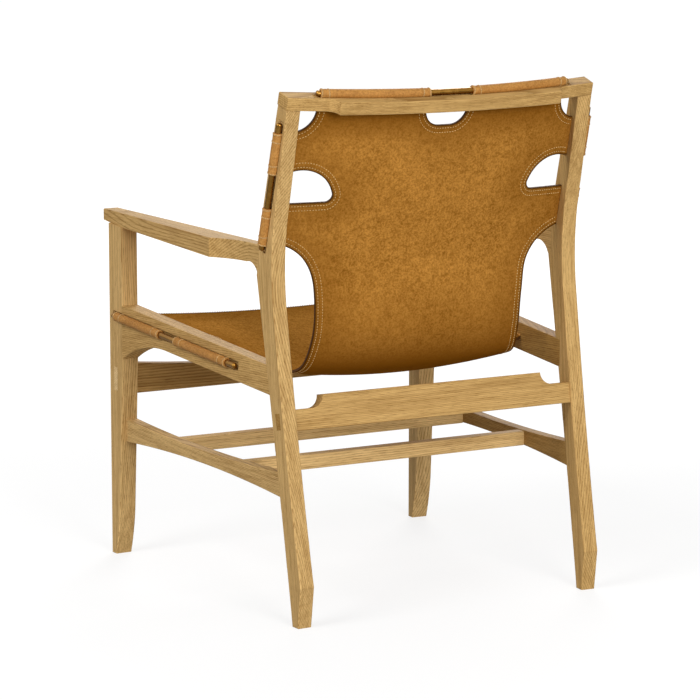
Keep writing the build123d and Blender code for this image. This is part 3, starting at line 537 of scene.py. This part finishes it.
def arc(start, via, end, steps):
    """Points of the arc through three, without its first."""
    a, b, c = [Vector(at) for at in (start, via, end)]
    turn = 2 * ((a.x - c.x) * (b.y - c.y) - (b.x - c.x) * (a.y - c.y))
    first = (a - c).dot(a + c)
    second = (b - c).dot(b + c)
    centre_x = (first * (b.y - c.y) - second * (a.y - c.y)) / turn
    centre_y = (second * (a.x - c.x) - first * (b.x - c.x)) / turn
    centre = Vector((centre_x, centre_y))
    radius = (a - centre).length
    from_angle = math.atan2(a.y - centre.y, a.x - centre.x)
    sweep = (math.atan2(c.y - centre.y, c.x - centre.x) - from_angle) % math.tau
    via_sweep = (math.atan2(b.y - centre.y, b.x - centre.x) - from_angle) % math.tau
    if via_sweep > sweep:
        sweep -= math.tau
    angles = [from_angle + sweep * step / steps for step in range(1, steps + 1)]
    return [(centre.x + radius * math.cos(angle), centre.y + radius * math.sin(angle)) for angle in angles]


def softened(places, times):
    """A run of places with its corners worn round, its ends kept."""
    for _ in range(times):
        inner = [
            ((before[0] + 2 * at[0] + after[0]) / 4, (before[1] + 2 * at[1] + after[1]) / 4)
            for before, at, after in zip(places, places[1:], places[2:])
        ]
        places = [places[0]] + inner + [places[-1]]
    return places


def line(start, end, steps):
    """Points of a straight run, without its first."""
    return [tuple(Vector(start).lerp(Vector(end), step / steps)) for step in range(1, steps + 1)]


# The openings, as they are seen from behind: under the crest's middle, at its corners, between the
# back's tabs, at the hips and between the seat's tabs. Each is cut to a round and hemmed.
tab_tops = (0.7747, 0.6601)
tab_bottoms = (0.7115, 0.5947)
seat_tabs = (-0.1090, -0.2770, -0.3310)
crest_tab = (0.037, 0.222)
crest_gap_straight = 0.798
crest_gap_bottom = 0.776
crest_gap_level = 0.010
crest_gap_via = (0.0295, 0.7841)
corner_start = 0.8077
corner_via = (0.233, 0.7837)
back_gap_level = 0.247
back_gap_via = (0.197, 0.7005)
back_gap_inner = 0.1775
back_gap_round = 0.011
hip_start = 0.2566
hip_in_slot = 0.2550
hip_via = (0.211, 0.5665)
hip_turn = (0.1925, 0.512)
hip_lower_via = (0.1903, 0.450)
hip_corner = 0.201
hip_floor = 0.372
hip_corner_depth = -0.0459
hip_rear_via = (0.214, -0.088)
seat_gap_depth = 0.050


def crest_edge(across):
    """Where the sling starts, just under the crest's underside."""
    lean = math.radians(back_angle)
    level = crest_thickness + edge_gap

    def below(point):
        run = (point.y - datum - crest_front) * math.sin(lean) + (point.z - crest_height) * math.cos(lean)
        return run <= -level

    return across, run_where(across, below)


def frame_edge(level, seat=False):
    """Where the sling meets the frame's inner face, at a height of the back or a depth of the seat."""
    place_at = at_depth if seat else at_height
    place = place_at(edge_at(level if seat else back_line(level)), level)
    for _ in range(3):
        place = place_at(edge_at(sling_point(*place).y - datum), level)
    return place


def down_frame(start, end, steps, seat=False):
    """Places down the frame's inner face between two heights, or forward between two depths."""
    return [frame_edge(start + (end - start) * step / steps, seat) for step in range(1, steps + 1)]


def sling_outline():
    """The left half's outline on the flat sheet, and which of its places lie on a hemmed edge."""
    gap_edge = [at_height(0.0, crest_gap_bottom), at_height(crest_gap_level, crest_gap_bottom)]
    turned = arc((crest_gap_level, crest_gap_bottom), crest_gap_via, (crest_tab[0], crest_gap_straight), 8)
    gap_edge += [at_height(*at) for at in turned]
    gap_edge += line(gap_edge[-1], crest_edge(crest_tab[0]), 4)
    top = [crest_edge(crest_tab[0] + (crest_tab[1] - crest_tab[0]) * step / 20) for step in range(1, 21)]
    corner = line(top[-1], at_height(crest_tab[1], corner_start), 2)
    inner = edge_at(back_line(tab_tops[0]))
    turned = arc((crest_tab[1], corner_start), corner_via, (inner, tab_tops[0]), 12)
    corner += [at_height(*at) for at in turned[:-1]] + [frame_edge(tab_tops[0])]
    upper = down_frame(tab_tops[0], tab_bottoms[0], 8)
    back_gap = [at_height(back_gap_level, tab_bottoms[0])]
    foot = (back_gap_inner + back_gap_round, tab_tops[1])
    back_foot = (back_gap_inner, tab_tops[1] + back_gap_round)
    turned = arc((back_gap_level, tab_bottoms[0]), back_gap_via, back_foot, 16)
    share = back_gap_round * (1 - math.cos(math.radians(45)))
    turned += arc(turned[-1], (back_gap_inner + share, tab_tops[1] + share), foot, 5)
    back_gap += [at_height(*at) for at in turned]
    back_gap += line(back_gap[-1], frame_edge(tab_tops[1]), 6)
    lower = down_frame(tab_tops[1], tab_bottoms[1], 8)
    hip = arc((hip_start, tab_bottoms[1]), hip_via, hip_turn, 20)
    hip += arc(hip[-1], hip_lower_via, (hip_corner, hip_floor), 20)
    hip_gap = [at_height(*at, hip_corner_depth) for at in hip if at[0] < hip_in_slot]
    hip_gap = [at for at in hip_gap if sling_point(*at).y > datum + hip_corner_depth + 0.001]
    rear_edge = edge_at(seat_tabs[0])
    under = arc((hip_corner, hip_corner_depth), hip_rear_via, (rear_edge, seat_tabs[0]), 10)
    hip_gap += [at_depth(hip_corner, hip_corner_depth)] + [at_depth(*at) for at in under[:-1]]
    hip_gap = softened(hip_gap + [frame_edge(seat_tabs[0], seat=True)], 6)
    rear_tab = down_frame(seat_tabs[0], seat_tabs[1], 20, seat=True)
    half = (seat_tabs[1] - seat_tabs[2]) / 2
    middle = (seat_tabs[1] + seat_tabs[2]) / 2
    root = edge_at(middle) - seat_gap_depth + half
    seat_gap = line(rear_tab[-1], at_depth(root, seat_tabs[1]), 4)
    turned = arc((root, seat_tabs[1]), (root - half, middle), (root, seat_tabs[2]), 14)
    seat_gap += [at_depth(*at) for at in turned]
    seat_gap += line(seat_gap[-1], frame_edge(seat_tabs[2], seat=True), 4)
    front_tab = down_frame(seat_tabs[2], -sling_depth, 18, seat=True)
    front = line(front_tab[-1], (0.0, front_tab[-1][1]), 1)
    hems = [gap_edge]
    places = gap_edge + top
    for cut, kept in ((corner, upper), (back_gap, lower), (hip_gap, rear_tab), (seat_gap, front_tab)):
        hems.append([places[-1]] + cut)
        places = places + cut + kept
    return places + front, hems


outline, hems = sling_outline()
sheet_maker = bmesh.new()
corners = [sheet_maker.verts.new((across, run, 0.0)) for across, run in outline]
sheet_maker.faces.new(corners)
lowest = min(run for across, run in outline)
highest = max(run for across, run in outline)
widest = max(across for across, run in outline)
cuts = [
    (Vector((0.0, at * cell, 0.0)), Vector((0.0, 1.0, 0.0)))
    for at in range(int(lowest / cell), int(highest / cell) + 1)
]
cuts += [
    (Vector((at * cell, 0.0, 0.0)), Vector((1.0, 0.0, 0.0)))
    for at in range(1, int(widest / cell) + 1)
]
for place, normal in cuts:
    geometry = sheet_maker.verts[:] + sheet_maker.edges[:] + sheet_maker.faces[:]
    bmesh.ops.bisect_plane(sheet_maker, geom=geometry, plane_co=place, plane_no=normal, dist=0.0002)
bmesh.ops.mirror(
    sheet_maker,
    geom=sheet_maker.verts[:] + sheet_maker.edges[:] + sheet_maker.faces[:],
    axis="X",
    merge_dist=0.0001,
)
bmesh.ops.recalc_face_normals(sheet_maker, faces=sheet_maker.faces[:])
flat_area = sum(face.calc_area() for face in sheet_maker.faces)
if sum(face.normal.z for face in sheet_maker.faces) < 0.0:
    bmesh.ops.reverse_faces(sheet_maker, faces=sheet_maker.faces[:])
from_hem = sheet_maker.verts.layers.float.new("from_hem")
from_rim = sheet_maker.verts.layers.float.new("from_rim")


def edge_distance(at, run):
    """How far a place of the flat sheet is from the nearest of a run of straight lines."""
    nearest = edge_darkening_reach
    for first, second in run:
        span = second - first
        share = min(max((at - first).dot(span) / max(span.length_squared, 1e-12), 0.0), 1.0)
        nearest = min(nearest, (at - first - span * share).length)
    return nearest


def lines_of(places):
    """A run of places as straight lines."""
    return [(Vector(here), Vector(there)) for here, there in zip(places, places[1:])]


hem_runs = [lines_of(hem) for hem in hems]
hem_lines = [hem_line for hem in hem_runs for hem_line in hem] + lines_of(outline[-2:])
rim_lines = lines_of(outline)
for vert in sheet_maker.verts:
    at = Vector((abs(vert.co.x), vert.co.y))
    vert[from_hem] = edge_distance(at, hem_lines)
    vert[from_rim] = edge_distance(at, rim_lines)
for vert in sheet_maker.verts:
    vert.co = sling_point(vert.co.x, vert.co.y)
sling = new_piece("sling_sheet", sheet_maker)
thickness = sling.modifiers.new("thickness", "SOLIDIFY")
thickness.thickness = leather_thickness
thickness.offset = 0.0
thickness.material_offset_rim = 1
eased = sling.modifiers.new("eased_edge", "BEVEL")
eased.width = eased_edge
eased.segments = 2
eased.limit_method = "ANGLE"
eased.angle_limit = math.radians(50.0)
hide_light = (0.58, 0.265, 0.050, 1.0)
hide_dark = (0.215, 0.082, 0.008, 1.0)
hide_edge = (0.050, 0.018, 0.003, 1.0)
cut_edge_colour = (0.10, 0.038, 0.009, 1.0)
# The brown used for painted shade under the crest and low on the back, and for the sheet's darker edges.
rim_and_shade_colour = (0.19, 0.066, 0.004, 1.0)
hide_cloud_scale = 90.0
pebble_relief = 0.0003


def build_hide():
    """Saddle leather's clouding and fine pebbled grain, as a colour, a height and a gloss."""
    group = bpy.data.node_groups.new("hide_grain", "ShaderNodeTree")
    start, end = group_sockets(
        group,
        (
            ("Vector", "NodeSocketVector", None),
            ("Light", "NodeSocketColor", hide_light),
            ("Dark", "NodeSocketColor", hide_dark),
            ("Cloud Scale", "NodeSocketFloat", hide_cloud_scale),
        ),
        (("Color", "NodeSocketColor"), ("Height", "NodeSocketFloat"), ("Roughness", "NodeSocketFloat")),
    )
    point = start.outputs["Vector"]
    cloud = noise(group, point, 4.0, start.outputs["Cloud Scale"], 0.65)
    mottle = noise(group, point, 3.0, 300.0, 0.75)
    tide = noise(group, point, 2.0, 7.0)
    cells = {"Vector": point, "Scale": 850.0}
    pebble = add_node(group, "ShaderNodeTexVoronoi", cells, feature="DISTANCE_TO_EDGE").outputs["Distance"]
    share = ramped(group, cloud, 0.36, 0.68, 0.0, 0.26)
    share = maths(group, "ADD", share, ramped(group, mottle, 0.38, 0.64, 0.0, 0.54))
    share = maths(group, "ADD", share, ramped(group, tide, 0.35, 0.70, 0.0, 0.20))
    # The pebble's creases are painted a tenth darker: painted shade in the grain's hollows.
    share = maths(group, "ADD", share, ramped(group, pebble, 0.0, 0.12, 0.10, 0.0))
    colour = blended(group, share, start.outputs["Light"], start.outputs["Dark"])
    height = maths(group, "ADD", ramped(group, pebble, 0.0, 0.2), mottle)
    group.links.new(colour, end.inputs["Color"])
    group.links.new(height, end.inputs["Height"])
    group.links.new(ramped(group, mottle, 0.3, 0.7, 0.55, 0.75), end.inputs["Roughness"])
    return group


hide = build_hide()


def painted_shade_and_edges(tree, colour, where, edge_colour):
    """The sheet's colour browned towards its edges and nearly black at its hems, with painted shade low on
    the back where it turns under (the leather partly darker there too) and a painted shadow under the crest.
    """
    near = add_node(tree, "ShaderNodeAttribute", attribute_name="from_hem").outputs["Fac"]
    rim = add_node(tree, "ShaderNodeAttribute", attribute_name="from_rim").outputs["Fac"]
    place = add_node(tree, "ShaderNodeSeparateXYZ", {"Vector": where})
    # Painted shade low on the back, where it turns under towards the seat; the leather is partly darker there
    # too.
    fold = ramped(tree, place.outputs["Z"], 0.40, 0.56, 0.52, 0.0)
    fold = maths(tree, "ADD", fold, ramped(tree, place.outputs["Z"], 0.372, 0.43, 0.48, 0.0))
    fold = maths(tree, "MULTIPLY", fold, ramped(tree, place.outputs["Y"], 0.10, 0.19))
    colour = blended(tree, fold, colour, rim_and_shade_colour)
    # Painted shadow cast by the crest on the top of the back.
    painted_crest_shadow = ramped(tree, place.outputs["Z"], 0.740, 0.812, 0.0, 0.80)
    colour = blended(tree, painted_crest_shadow, colour, rim_and_shade_colour)
    # Darker towards every edge of the outline: partly the leather's darker edges, partly painted shade where
    # the sheet meets the frame.
    colour = blended(tree, ramped(tree, rim, 0.0, 0.088, 0.46, 0.0), colour, rim_and_shade_colour)
    colour = blended(tree, ramped(tree, near, 0.0, 0.012, 0.26, 0.0), colour, edge_colour)
    colour = blended(tree, ramped(tree, near, 0.0008, 0.0030, 0.88, 0.0), colour, edge_colour)
    return colour, ramped(tree, near, 0.0125, 0.0140, 2.5, 0.0)


def leather(name, light, dark, cloud_scale, gloss, edge_colour=None):
    """A leather finish; where an edge colour is given, it darkens towards the sheet's edges and takes the
    painted shade low on the back and the painted shadow under the crest.
    """
    material, tree, shader = new_material(name)
    where = add_node(tree, "ShaderNodeTexCoord")
    skin = add_node(tree, "ShaderNodeGroup", {}, node_tree=hide)
    tree.links.new(where.outputs["Object"], skin.inputs["Vector"])
    skin.inputs["Light"].default_value = light
    skin.inputs["Dark"].default_value = dark
    skin.inputs["Cloud Scale"].default_value = cloud_scale
    colour = skin.outputs["Color"]
    height = skin.outputs["Height"]
    if edge_colour:
        colour, band = painted_shade_and_edges(tree, colour, where.outputs["Object"], edge_colour)
        height = maths(tree, "ADD", height, band)
    bump = add_node(tree, "ShaderNodeBump", {"Height": height, "Strength": 0.5, "Distance": pebble_relief})
    tree.links.new(colour, shader.inputs["Base Color"])
    tree.links.new(skin.outputs["Roughness"], shader.inputs["Roughness"])
    tree.links.new(bump.outputs[0], shader.inputs["Normal"])
    shader.inputs["Specular IOR Level"].default_value = gloss
    return material


sling.data.materials.append(leather("sling_leather", hide_light, hide_dark, hide_cloud_scale, 0.0, hide_edge))
sling.data.materials.append(leather("sling_cut_edge", cut_edge_colour, hide_edge, 60.0, 0.2))
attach(sling, "root")
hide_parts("sling")

# The hem's stitching: two rows of waxed linen thread beside every opening, on both faces, and a whipped
# thread that goes over the seat's front edge. Each stitch is a short plump piece sunk a little.
stitch_pitch = 0.0047
stitch_length = 0.0031
stitch_width = 0.00115
stitch_rows = (0.0052, 0.0125)
middle_gap = 0.001
frame_clearance = 0.003
whip_pitch = 0.0046
whip_radius = 0.0008
whip_sweep = 220.0
whip_setback = 0.0008
thread_colour = (0.82, 0.57, 0.23, 1.0)


def even_places(run, gap):
    """Places and directions at even steps along a run of straight lines."""
    left = gap / 2
    found = []
    for first, second in run:
        length = (second - first).length
        while left < length:
            found.append((first.lerp(second, left / length), (second - first) / length))
            left += gap
        left -= length
    return found


def inward(run, distance):
    """A hem's run moved into the sheet, its places kept that are no nearer the edge than the distance."""
    moved = []
    for first, second in run:
        span = second - first
        if span.length < 1e-6:
            continue
        side = Vector((-span.y, span.x)).normalized() * distance
        moved += [first + side, second + side]
    kept = [at for at in moved if edge_distance(at, hem_lines) > 0.97 * distance]
    return list(zip(kept, kept[1:]))


def surface_frame(at, heading):
    """The sling's point, rear normal and direction, for a place and a heading of the flat sheet."""
    step = 0.0005
    here = sling_point(*at)
    across = (sling_point(at.x + step, at.y) - here) / step
    down = (sling_point(at.x, at.y + step) - here) / step
    normal = down.cross(across).normalized()
    forward = (across * heading.x + down * heading.y).normalized()
    return here, normal, forward


def gathered(makers):
    """Several bmeshes put into one."""
    whole = bmesh.new()
    for maker in makers:
        mesh = bpy.data.meshes.new("gathered")
        maker.to_mesh(mesh)
        maker.free()
        whole.from_mesh(mesh)
        bpy.data.meshes.remove(mesh)
    return whole


def stitch_row(hem, distance):
    """One row of stitches beside a hem, on both faces of the leather."""
    row = bmesh.new()
    size = Matrix.Diagonal((stitch_length / 2, stitch_width / 2, stitch_width / 2, 1.0))
    for at, heading in even_places(inward(hem, distance), stitch_pitch):
        here, normal, forward = surface_frame(at, heading)
        if at.x < middle_gap or at.x > edge_at(here.y - datum) - frame_clearance:
            continue
        turn = Matrix((forward, normal.cross(forward), normal)).transposed().to_4x4()
        for face in (1, -1):
            place = Matrix.Translation(here + normal * face * (leather_thickness / 2))
            placed = place @ turn @ size
            bmesh.ops.create_uvsphere(row, u_segments=6, v_segments=4, radius=1.0, matrix=placed)
    return row


stitch_maker = gathered([stitch_row(hem, distance) for hem in hem_runs for distance in stitch_rows])
bmesh.ops.mirror(
    stitch_maker,
    geom=stitch_maker.verts[:] + stitch_maker.edges[:] + stitch_maker.faces[:],
    axis="X",
    merge_dist=0.0,
)
bmesh.ops.recalc_face_normals(stitch_maker, faces=stitch_maker.faces[:])
hem_stitches = new_piece("hem_stitches", stitch_maker)


def thread_turn(maker, thickness, segments, radius, sweep, steps):
    """A thread bent round the Z axis from ahead of X, by a circle spun about it; gives its vertices."""
    before = set(maker.verts)
    ring = bmesh.ops.create_circle(maker, segments=segments, radius=thickness)["verts"]
    upright_ring = Matrix.Rotation(math.radians(90.0), 3, "X")
    bmesh.ops.rotate(maker, verts=ring, cent=(0, 0, 0), matrix=upright_ring)
    bmesh.ops.translate(maker, verts=ring, vec=(radius, 0.0, 0.0))
    spun = ring + list({edge for vert in ring for edge in vert.link_edges})
    bmesh.ops.spin(
        maker,
        geom=spun,
        cent=(0, 0, 0),
        axis=(0, 0, 1),
        angle=sweep,
        steps=steps,
        use_merge=sweep == math.tau,
    )
    return [vert for vert in maker.verts if vert not in before]


whip_maker = bmesh.new()
front_run = outline[-1][1]
front_half = outline[-2][0]
whips = int(2 * front_half / whip_pitch)
for number in range(whips):
    across = -front_half + (number + 0.5) * 2 * front_half / whips
    here, normal, forward = surface_frame(Vector((across, front_run)), Vector((1.0, 0.3)))
    ahead = normal.cross(forward).normalized()
    if ahead.y > 0.0:
        ahead = -ahead
    over_edge = leather_thickness / 2 + whip_radius
    whip = thread_turn(whip_maker, whip_radius, 5, over_edge, math.radians(whip_sweep), 7)
    half_back = Matrix.Rotation(math.radians(-whip_sweep / 2), 3, "Z")
    bmesh.ops.rotate(whip_maker, verts=whip, cent=(0, 0, 0), matrix=half_back)
    turn = Matrix((ahead, normal, ahead.cross(normal))).transposed().to_4x4()
    place = Matrix.Translation(here - ahead * whip_setback) @ turn
    bmesh.ops.transform(whip_maker, matrix=place, verts=whip)
bmesh.ops.recalc_face_normals(whip_maker, faces=whip_maker.faces[:])
front_whipping = new_piece("front_whipping", whip_maker)
thread_shadow = (0.55, 0.37, 0.15, 1.0)
twist_scale = 700.0
twist_relief = 0.0002


def waxed_thread(name, light, dark):
    """Waxed linen thread, darker in its twist."""
    material, tree, shader = new_material(name)
    where = add_node(tree, "ShaderNodeTexCoord")
    twist = noise(tree, where.outputs["Object"], 2.0, twist_scale)
    bump = add_node(tree, "ShaderNodeBump", {"Height": twist, "Strength": 0.4, "Distance": twist_relief})
    tree.links.new(blended(tree, ramped(tree, twist, 0.35, 0.7), light, dark), shader.inputs["Base Color"])
    tree.links.new(bump.outputs[0], shader.inputs["Normal"])
    shader.inputs["Roughness"].default_value = 0.6
    return material


thread = waxed_thread("thread", thread_colour, thread_shadow)
for stitching in (hem_stitches, front_whipping):
    stitching.data.materials.append(thread)
    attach(stitching, "root")

# The loops: the sheet's tabs are turned back over the rods and sewn, which makes smooth tan sleeves.
# Each has a tongue that goes through a slot to the sling, and thread bound round it near both ends.
rod_radius = 0.005
bore_clearance = 0.0002
loop_bore = rod_radius + bore_clearance
loop_radius = 0.0074
rod_proud = 0.003
back_rod_length = 0.2113
seat_rod_length = 0.4168
crest_rod_half = 0.2285
crest_rod_end = 0.0275
crest_rod_middle = 0.0489
crest_rod_rise = 0.0045
binding_inset = 0.0015
loop_spans = (
    ("back_loop_lower", "back_rod", (0.0407, 0.3341), 0.0135),
    ("back_loop_upper", "back_rod", (0.6010, 0.9243), 0.0135),
    ("seat_loop_front", "seat_rod", (0.0288, 0.4014), 0.0200),
    ("seat_loop_rear", "seat_rod", (0.5312, 0.9350), 0.0200),
)
loop_colour = (0.55, 0.262, 0.058, 1.0)
loop_shadow = (0.30, 0.122, 0.020, 1.0)
loop_leather = leather("loop_leather", loop_colour, loop_shadow, 60.0, 0.30)
wrap_radius = 0.00052
wrap_slant = 5.0
pinch_depth = 0.0005
pinch_width = 0.0012
sleeve_belly = 0.00018
sleeve_lip = 0.0007
sleeve_sides = 32
tongue_arris = 0.0006
wrap_colour = (0.62, 0.38, 0.14, 1.0)
wrap_shadow = (0.33, 0.18, 0.055, 1.0)
whipping_thread = waxed_thread("whipping_thread", wrap_colour, wrap_shadow)
splay = Matrix.Rotation(math.radians(splay_angle), 4, "Z")
side_place = Matrix.Translation((half_datum_width, datum, 0.0)) @ splay


def rod_matrix(origin, along_rod):
    """Where a side rod's own frame lies: Z along the rod, X out of the side frame's face."""
    out = Vector((1.0, 0.0, 0.0))
    up = Vector(along_rod)
    return side_place @ Matrix.Translation(origin) @ Matrix((out, up.cross(out), up)).transposed().to_4x4()


back_lean = math.radians(back_angle)
seat_lean = math.radians(seat_angle)
up_the_back = (0.0, math.sin(back_lean), math.cos(back_lean))
down_the_seat = (0.0, math.cos(seat_lean), -math.sin(seat_lean))
back_place = rod_matrix((rod_proud, back_rod_depth, back_rod_height), up_the_back)
seat_place = rod_matrix((rod_proud, seat_rod_front, seat_rod_height), down_the_seat)
rod_places = {"back_rod": (back_place, back_rod_length), "seat_rod": (seat_place, seat_rod_length)}


def sleeve_profile(start, end, bindings):
    """The sleeve's section along the rod: outside, rounded ends and bore, drawn in under each binding."""
    steps = max(int((end - start) / 0.002), 8)
    outside = []
    for step in range(steps + 1):
        at = start + (end - start) * step / steps
        pinch = sum(pinch_depth * math.exp(-(((at - ring) / pinch_width) ** 2)) for ring in bindings)
        belly = sleeve_belly * math.sin(math.pi * (at - start) / (end - start))
        outside.append((loop_radius + belly - pinch, at))
    lip = sleeve_lip
    outside[0] = (loop_radius - lip, start)
    outside[-1] = (loop_radius - lip, end)
    outside.insert(1, (loop_radius - lip / 4, start + lip * 0.8))
    outside.insert(-1, (loop_radius - lip / 4, end - lip * 0.8))
    return outside + [(loop_bore, end), (loop_bore, start)]


def spun_round(maker, profile, steps):
    """A closed section turned once round the Z axis."""
    verts = [maker.verts.new((radius, 0.0, at)) for radius, at in profile]
    edges = [maker.edges.new((a, b)) for a, b in zip(verts, verts[1:] + verts[:1])]
    bmesh.ops.spin(
        maker,
        geom=verts + edges,
        cent=(0, 0, 0),
        axis=(0, 0, 1),
        angle=math.tau,
        steps=steps,
        use_merge=True,
    )
    bmesh.ops.remove_doubles(maker, verts=maker.verts[:], dist=0.00001)


def wound_ring(maker, at, slant):
    """Two touching turns of thread round the sleeve, a little aslant."""
    tilt = Matrix.Rotation(math.radians(slant), 3, "Y")
    for side in (-0.5, 0.5):
        turn = thread_turn(maker, wrap_radius, 6, loop_radius + wrap_radius / 2, math.tau, 28)
        bmesh.ops.rotate(maker, verts=turn, cent=(0, 0, 0), matrix=tilt)
        bmesh.ops.translate(maker, verts=turn, vec=(0.0, 0.0, at + side * 2 * wrap_radius))
    bmesh.ops.remove_doubles(maker, verts=maker.verts[:], dist=0.00001)


def whipped(maker, rings):
    """The thread rings of one sleeve, slanted in turn one way and the other."""
    for number, ring in enumerate(rings):
        wound_ring(maker, ring, wrap_slant if number % 2 else -wrap_slant)


def tongue(maker, start, end, reach):
    """The doubled tab that goes from the sleeve through its slot."""
    size = Matrix.Diagonal((reach, leather_thickness, end - start, 1.0))
    place = Matrix.Translation((-loop_bore - reach / 2, 0.0, (start + end) / 2))
    cube = bmesh.ops.create_cube(maker, size=1.0, matrix=place @ size)["verts"]
    edges = list({edge for vert in cube for edge in vert.link_edges})
    bmesh.ops.bevel(
        maker,
        geom=edges,
        offset=tongue_arris,
        segments=1,
        profile=0.5,
        affect="EDGES",
        offset_type="OFFSET",
        material=-1,
    )


def finish_pair(name, maker, material, stands_for, bend=None):
    """The left piece and its mirror image, each standing for its solid."""
    if bend:
        for vert in maker.verts:
            vert.co = bend(vert.co)
    bmesh.ops.recalc_face_normals(maker, faces=maker.faces[:])
    made = []
    for side, flip in zip(both_sides, (1.0, -1.0)):
        copy = maker.copy()
        if flip < 0.0:
            bmesh.ops.transform(copy, matrix=Matrix.Diagonal((-1.0, 1.0, 1.0, 1.0)), verts=copy.verts[:])
            bmesh.ops.reverse_faces(copy, faces=copy.faces[:])
        piece = new_piece(f"{name}_{side}", copy)
        piece.data.materials.append(material)
        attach(piece, "root")
        for node in stands_for:
            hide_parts(f"{node}_{side}")
        made.append(piece)
    maker.free()
    return made


def binding_places(start, end, pitch):
    """The two rings of thread near each end of a sleeve."""
    first = start + binding_inset
    last = end - binding_inset
    return first, first + pitch, last - pitch, last


sleeves = []
for rod in ("back_rod", "seat_rod"):
    place, length = rod_places[rod]
    bindings_maker = bmesh.new()
    for loop_name, on_rod, (start_share, end_share), pitch in loop_spans:
        if on_rod != rod:
            continue
        start = start_share * length
        end = end_share * length
        rings = binding_places(start, end, pitch)
        loop_maker = bmesh.new()
        spun_round(loop_maker, sleeve_profile(start, end, rings), sleeve_sides)
        ends = [place @ Vector((0.0, 0.0, at)) for at in (start, end)]
        middle = (ends[0] + ends[1]) / 2
        reach = middle.x - edge_at(middle.y - datum) - loop_bore
        tongue(loop_maker, start, end, reach)
        bmesh.ops.transform(loop_maker, matrix=place, verts=loop_maker.verts[:])
        sleeve_name = loop_name.replace("loop", "sleeve")
        sleeves += finish_pair(sleeve_name, loop_maker, loop_leather, [loop_name])
        whipped(bindings_maker, rings)
    bmesh.ops.transform(bindings_maker, matrix=place, verts=bindings_maker.verts[:])
    whipping_name = rod.replace("rod", "whipping")
    bindings_name = rod.replace("rod", "bindings")
    sleeves += finish_pair(whipping_name, bindings_maker, whipping_thread, [bindings_name])

crest_lean = Matrix.Rotation(-back_lean, 4, "X")
crest_matrix = Matrix.Translation((0.0, datum + crest_front, crest_height)) @ crest_lean
crest_bend = crest_rod_middle - crest_rod_end


def along_crest(point):
    """A point drawn about a straight rod along Z, bent onto the crest rod's line."""
    across = point.z
    slope = -2 * crest_bend * across / crest_rod_half**2
    ahead = Vector((1.0, slope, 0.0)).normalized()
    rear = Vector((-ahead.y, ahead.x, 0.0))
    up = Vector((0.0, 0.0, 1.0))
    behind = crest_rod_middle - crest_bend * (across / crest_rod_half) ** 2
    centre = Vector((across, behind, crest_rod_rise))
    return crest_matrix @ (centre + up * point.x + rear * point.y)


crest_start = 0.038
crest_end = 0.222
crest_pitch = 0.0120
crest_rings = binding_places(crest_start, crest_end, crest_pitch)
crest_maker = bmesh.new()
spun_round(crest_maker, sleeve_profile(crest_start, crest_end, crest_rings), sleeve_sides)
tongue(crest_maker, crest_start, crest_end, crest_rod_rise + crest_thickness - loop_bore)
tongue_edges = [edge for edge in crest_maker.edges if edge.calc_length() > 0.1]
bmesh.ops.subdivide_edges(crest_maker, edges=tongue_edges, cuts=24)
crest_loops = ["crest_loop"]
sleeves += finish_pair("crest_sleeve", crest_maker, loop_leather, crest_loops, along_crest)
crest_wrap_maker = bmesh.new()
whipped(crest_wrap_maker, crest_rings)
whippings = finish_pair("crest_whipping", crest_wrap_maker, whipping_thread, [], along_crest)
for piece in whippings:
    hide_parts("crest_bindings")
